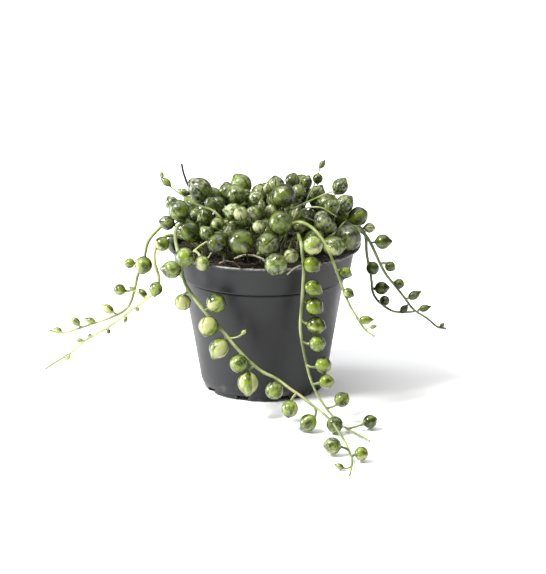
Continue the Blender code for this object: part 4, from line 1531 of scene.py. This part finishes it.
@dataclass
class Plant:
    """The whole plant: every strand and sprig, and the dry twig.

    Attributes:
        layout: Where stems and leaves lie.
        seed: The seed of the leaves' turns and tones.
    """

    layout: PlantLayout
    seed: int = 5

    STEM_MIDDLE = (MOUND_CENTRE[0], MOUND_CENTRE[1], 44.0)  # stems pass on this side of a leaf
    # By a strand's name, or by the first word of a sprig's name.
    LOOKS = {
        "outer_right_strand": StrandLook(0.3, 0.1, 0.55),
        "back_right_strand": StrandLook(0.25, 0.1, 0.7),
        "front_left_strand": StrandLook(0.5, 0.08, 0.0),
        "front_right_strand": StrandLook(0.42, 0.08, 0.0),
        "slim_right_strand": StrandLook(0.5, 0.1, 0.0),
        "upper_left_strand": StrandLook(0.45, 0.1, 0.0),
        "lower_left_strand": StrandLook(0.45, 0.1, 0.0),
        "large": StrandLook(0.12, 0.3, 0.5),
        "front": StrandLook(0.12, 0.4, 0.45),
        "pale": StrandLook(0.4, 0.85, 0.05),
        "striped": StrandLook(0.5, 0.8, 0.05),
        "upright": StrandLook(0.5, 0.5, 0.0),
    }

    def build(self) -> None:
        """Build every strand, sprig and the twig."""
        rng = np.random.default_rng(self.seed)
        maker = LeafMaker()
        stem_skin = StemFinish().build()
        # A darker copy of the stem skin, for the front strands.
        darker_skin = StemFinish("darker_stem_skin", "949d64", "606d36", "7b683f").build()
        shaded_skin = StemFinish("shaded_stem_skin", "727c48", "404a28", "4c422b").build()
        # The sprigs' stems get a darker copy of the stem skin: painted shade for the stalks down
        # inside the mound.
        sprig_skin = StemFinish("sprig_stem_skin", "7f8a50", "47562a", "6a5433").build()
        leaf_skin = LeafFinish().build()
        facing = Vector((-0.2, -0.62, -0.78))
        for name, (points, _) in self.layout.strands.items():
            radius = self.layout.stem_radius(name)
            route = self.layout.clear_route(points, radius, SMOOTH_STEP)
            if name == "dry_twig":
                twig = Bench.tubes("dry_twig_stem", [(route, [0.6 - 0.014 * i for i in
                                                              range(len(route))])])
                settle_piece(twig, CrumbFinish("twig_skin", "17110d", "46382c", 350).build(),
                             "dry_stem", name)
                continue
            look = self.LOOKS.get(name, StrandLook(0.4, 0.3, 0.0))
            route = np.vstack([route[0] * (1, 1, 0) + (0, 0, SOIL_TOP_Z - 0.8), route])
            skin = darker_skin if name.startswith("front") else stem_skin
            Strand(name, route, radius, self.layout.leaves[name], look, facing, rng
                   ).grow(maker, shaded_skin if look.dark > 0.3 else skin, leaf_skin)
        for name in self.layout.sprigs:
            leaves = self.layout.leaves[name]
            knots = self.layout.sprig_route([c for c, _ in leaves])
            route = self.mound_route(knots, leaves)
            look = self.LOOKS.get(name.split("_")[0], StrandLook(0.26, 0.45, 0.32))
            Strand(name, route, SHOOT_RADIUS, leaves, look, Vector((0, -1, 0.2)), rng, True
                   ).grow(maker, sprig_skin, leaf_skin)
        maker.clear_away()

    def mound_route(self, knots: np.ndarray, leaves: list) -> np.ndarray:
        """Return a sprig's smooth route, which passes just under its leaves.

        Args:
            knots: The sprig's foot, its knee and its leaves' centres.
            leaves: Centre and diameter of each leaf.

        Returns:
            The stem's points.
        """
        middle = np.array(self.STEM_MIDDLE)
        points = [np.array(knots[0]) - (0, 0, 1.2), np.array(knots[1])]
        for centre, diameter in leaves:
            inward = (middle - centre) / np.linalg.norm(middle - centre)
            points.append(centre + inward * diameter * 0.5)
        return self.layout.smooth_route(points, SMOOTH_STEP)


# ---------------------------------------------------------------- the studio


@dataclass(frozen=True)
class Lamp:
    """A square soft light that faces the pot.

    Attributes:
        name: The light's name.
        spot: Its place in metres.
        size: Its side in metres.
        watts: Its power.
        tint: Its colour.
    """

    name: str
    spot: tuple
    size: float
    watts: float
    tint: tuple

    def build(self) -> None:
        """Add the light and turn it to the pot's middle."""
        bpy.ops.object.light_add(type="AREA", location=self.spot)
        lamp = bpy.context.object
        lamp.name = self.name
        lamp.data.size = self.size
        lamp.data.energy = self.watts
        lamp.data.color = self.tint
        aim = Vector((0, 0, 0.04)) - Vector(self.spot)
        lamp.rotation_euler = aim.to_track_quat("-Z", "Y").to_euler()


@dataclass
class Studio:
    """A pale floor, a soft key light from the upper left, and the camera.

    Attributes:
        distance: From the camera to the point it looks at, in metres.
        lens: The camera's focal length in millimetres.
        tilt: How far the camera looks down, in degrees.
        target: The point that it looks at, in millimetres.
        air: The strength of the light from all round.
    """

    LAMPS = (
        Lamp("key_light", (-0.72, -0.32, 1.0), 0.34, 29.0, (1.0, 0.985, 0.96)),
        Lamp("overhead_light", (0.0, 0.15, 1.4), 2.0, 24.0, (1.0, 1.0, 1.0)),
        Lamp("side_light", (-0.95, 0.1, 0.2), 0.4, 11.0, (0.93, 0.96, 1.0)),
    )

    distance: float = 1.2
    lens: float = 225.0
    tilt: float = 16.5
    target: tuple = (3.1, 0.0, 33.6)
    air: float = 0.29

    def camera(self) -> None:
        """Add the camera and make it the scene's."""
        angle = math.radians(self.tilt)
        aim = Vector(self.target) * MM
        spot = aim + self.distance * Vector((0, -math.cos(angle), math.sin(angle)))
        bpy.ops.object.camera_add(location=spot, rotation=(math.pi / 2 - angle, 0, 0))
        camera = bpy.context.object
        camera.name = "camera"
        camera.data.lens = self.lens
        camera.data.clip_start = 0.01
        bpy.context.scene.camera = camera

    def build(self) -> None:
        """Set up the floor, the lights, the world and the camera."""
        Bench.clear()
        bpy.ops.mesh.primitive_plane_add(size=14, location=(0, 0, -0.0003))
        floor = Bench.new("studio_floor")
        sheet = NodeSheet("studio_white")
        sheet.put(Base_Color=(0.93, 0.93, 0.93, 1), Roughness=0.9, Specular_IOR_Level=0.1)
        floor.data.materials.append(sheet.material)
        world = bpy.data.worlds.new("studio_air")
        world.use_nodes = True
        background = world.node_tree.nodes["Background"].inputs
        background["Color"].default_value = (1, 1, 1, 1)
        background["Strength"].default_value = self.air
        bpy.context.scene.world = world
        for lamp in self.LAMPS:
            lamp.build()
        self.camera()
        bpy.context.scene.view_settings.view_transform = "Standard"


def main() -> None:
    """Build the pot, the soil, the plant and the studio."""
    logging.basicConfig(level=logging.INFO, format="%(message)s")
    NurseryPot().build()
    PottingSoil().build()
    Plant(PlantLayout()).build()
    Studio().build()
    Bench.clear()
    bpy.context.view_layer.update()


if __name__ == "__main__":
    main()
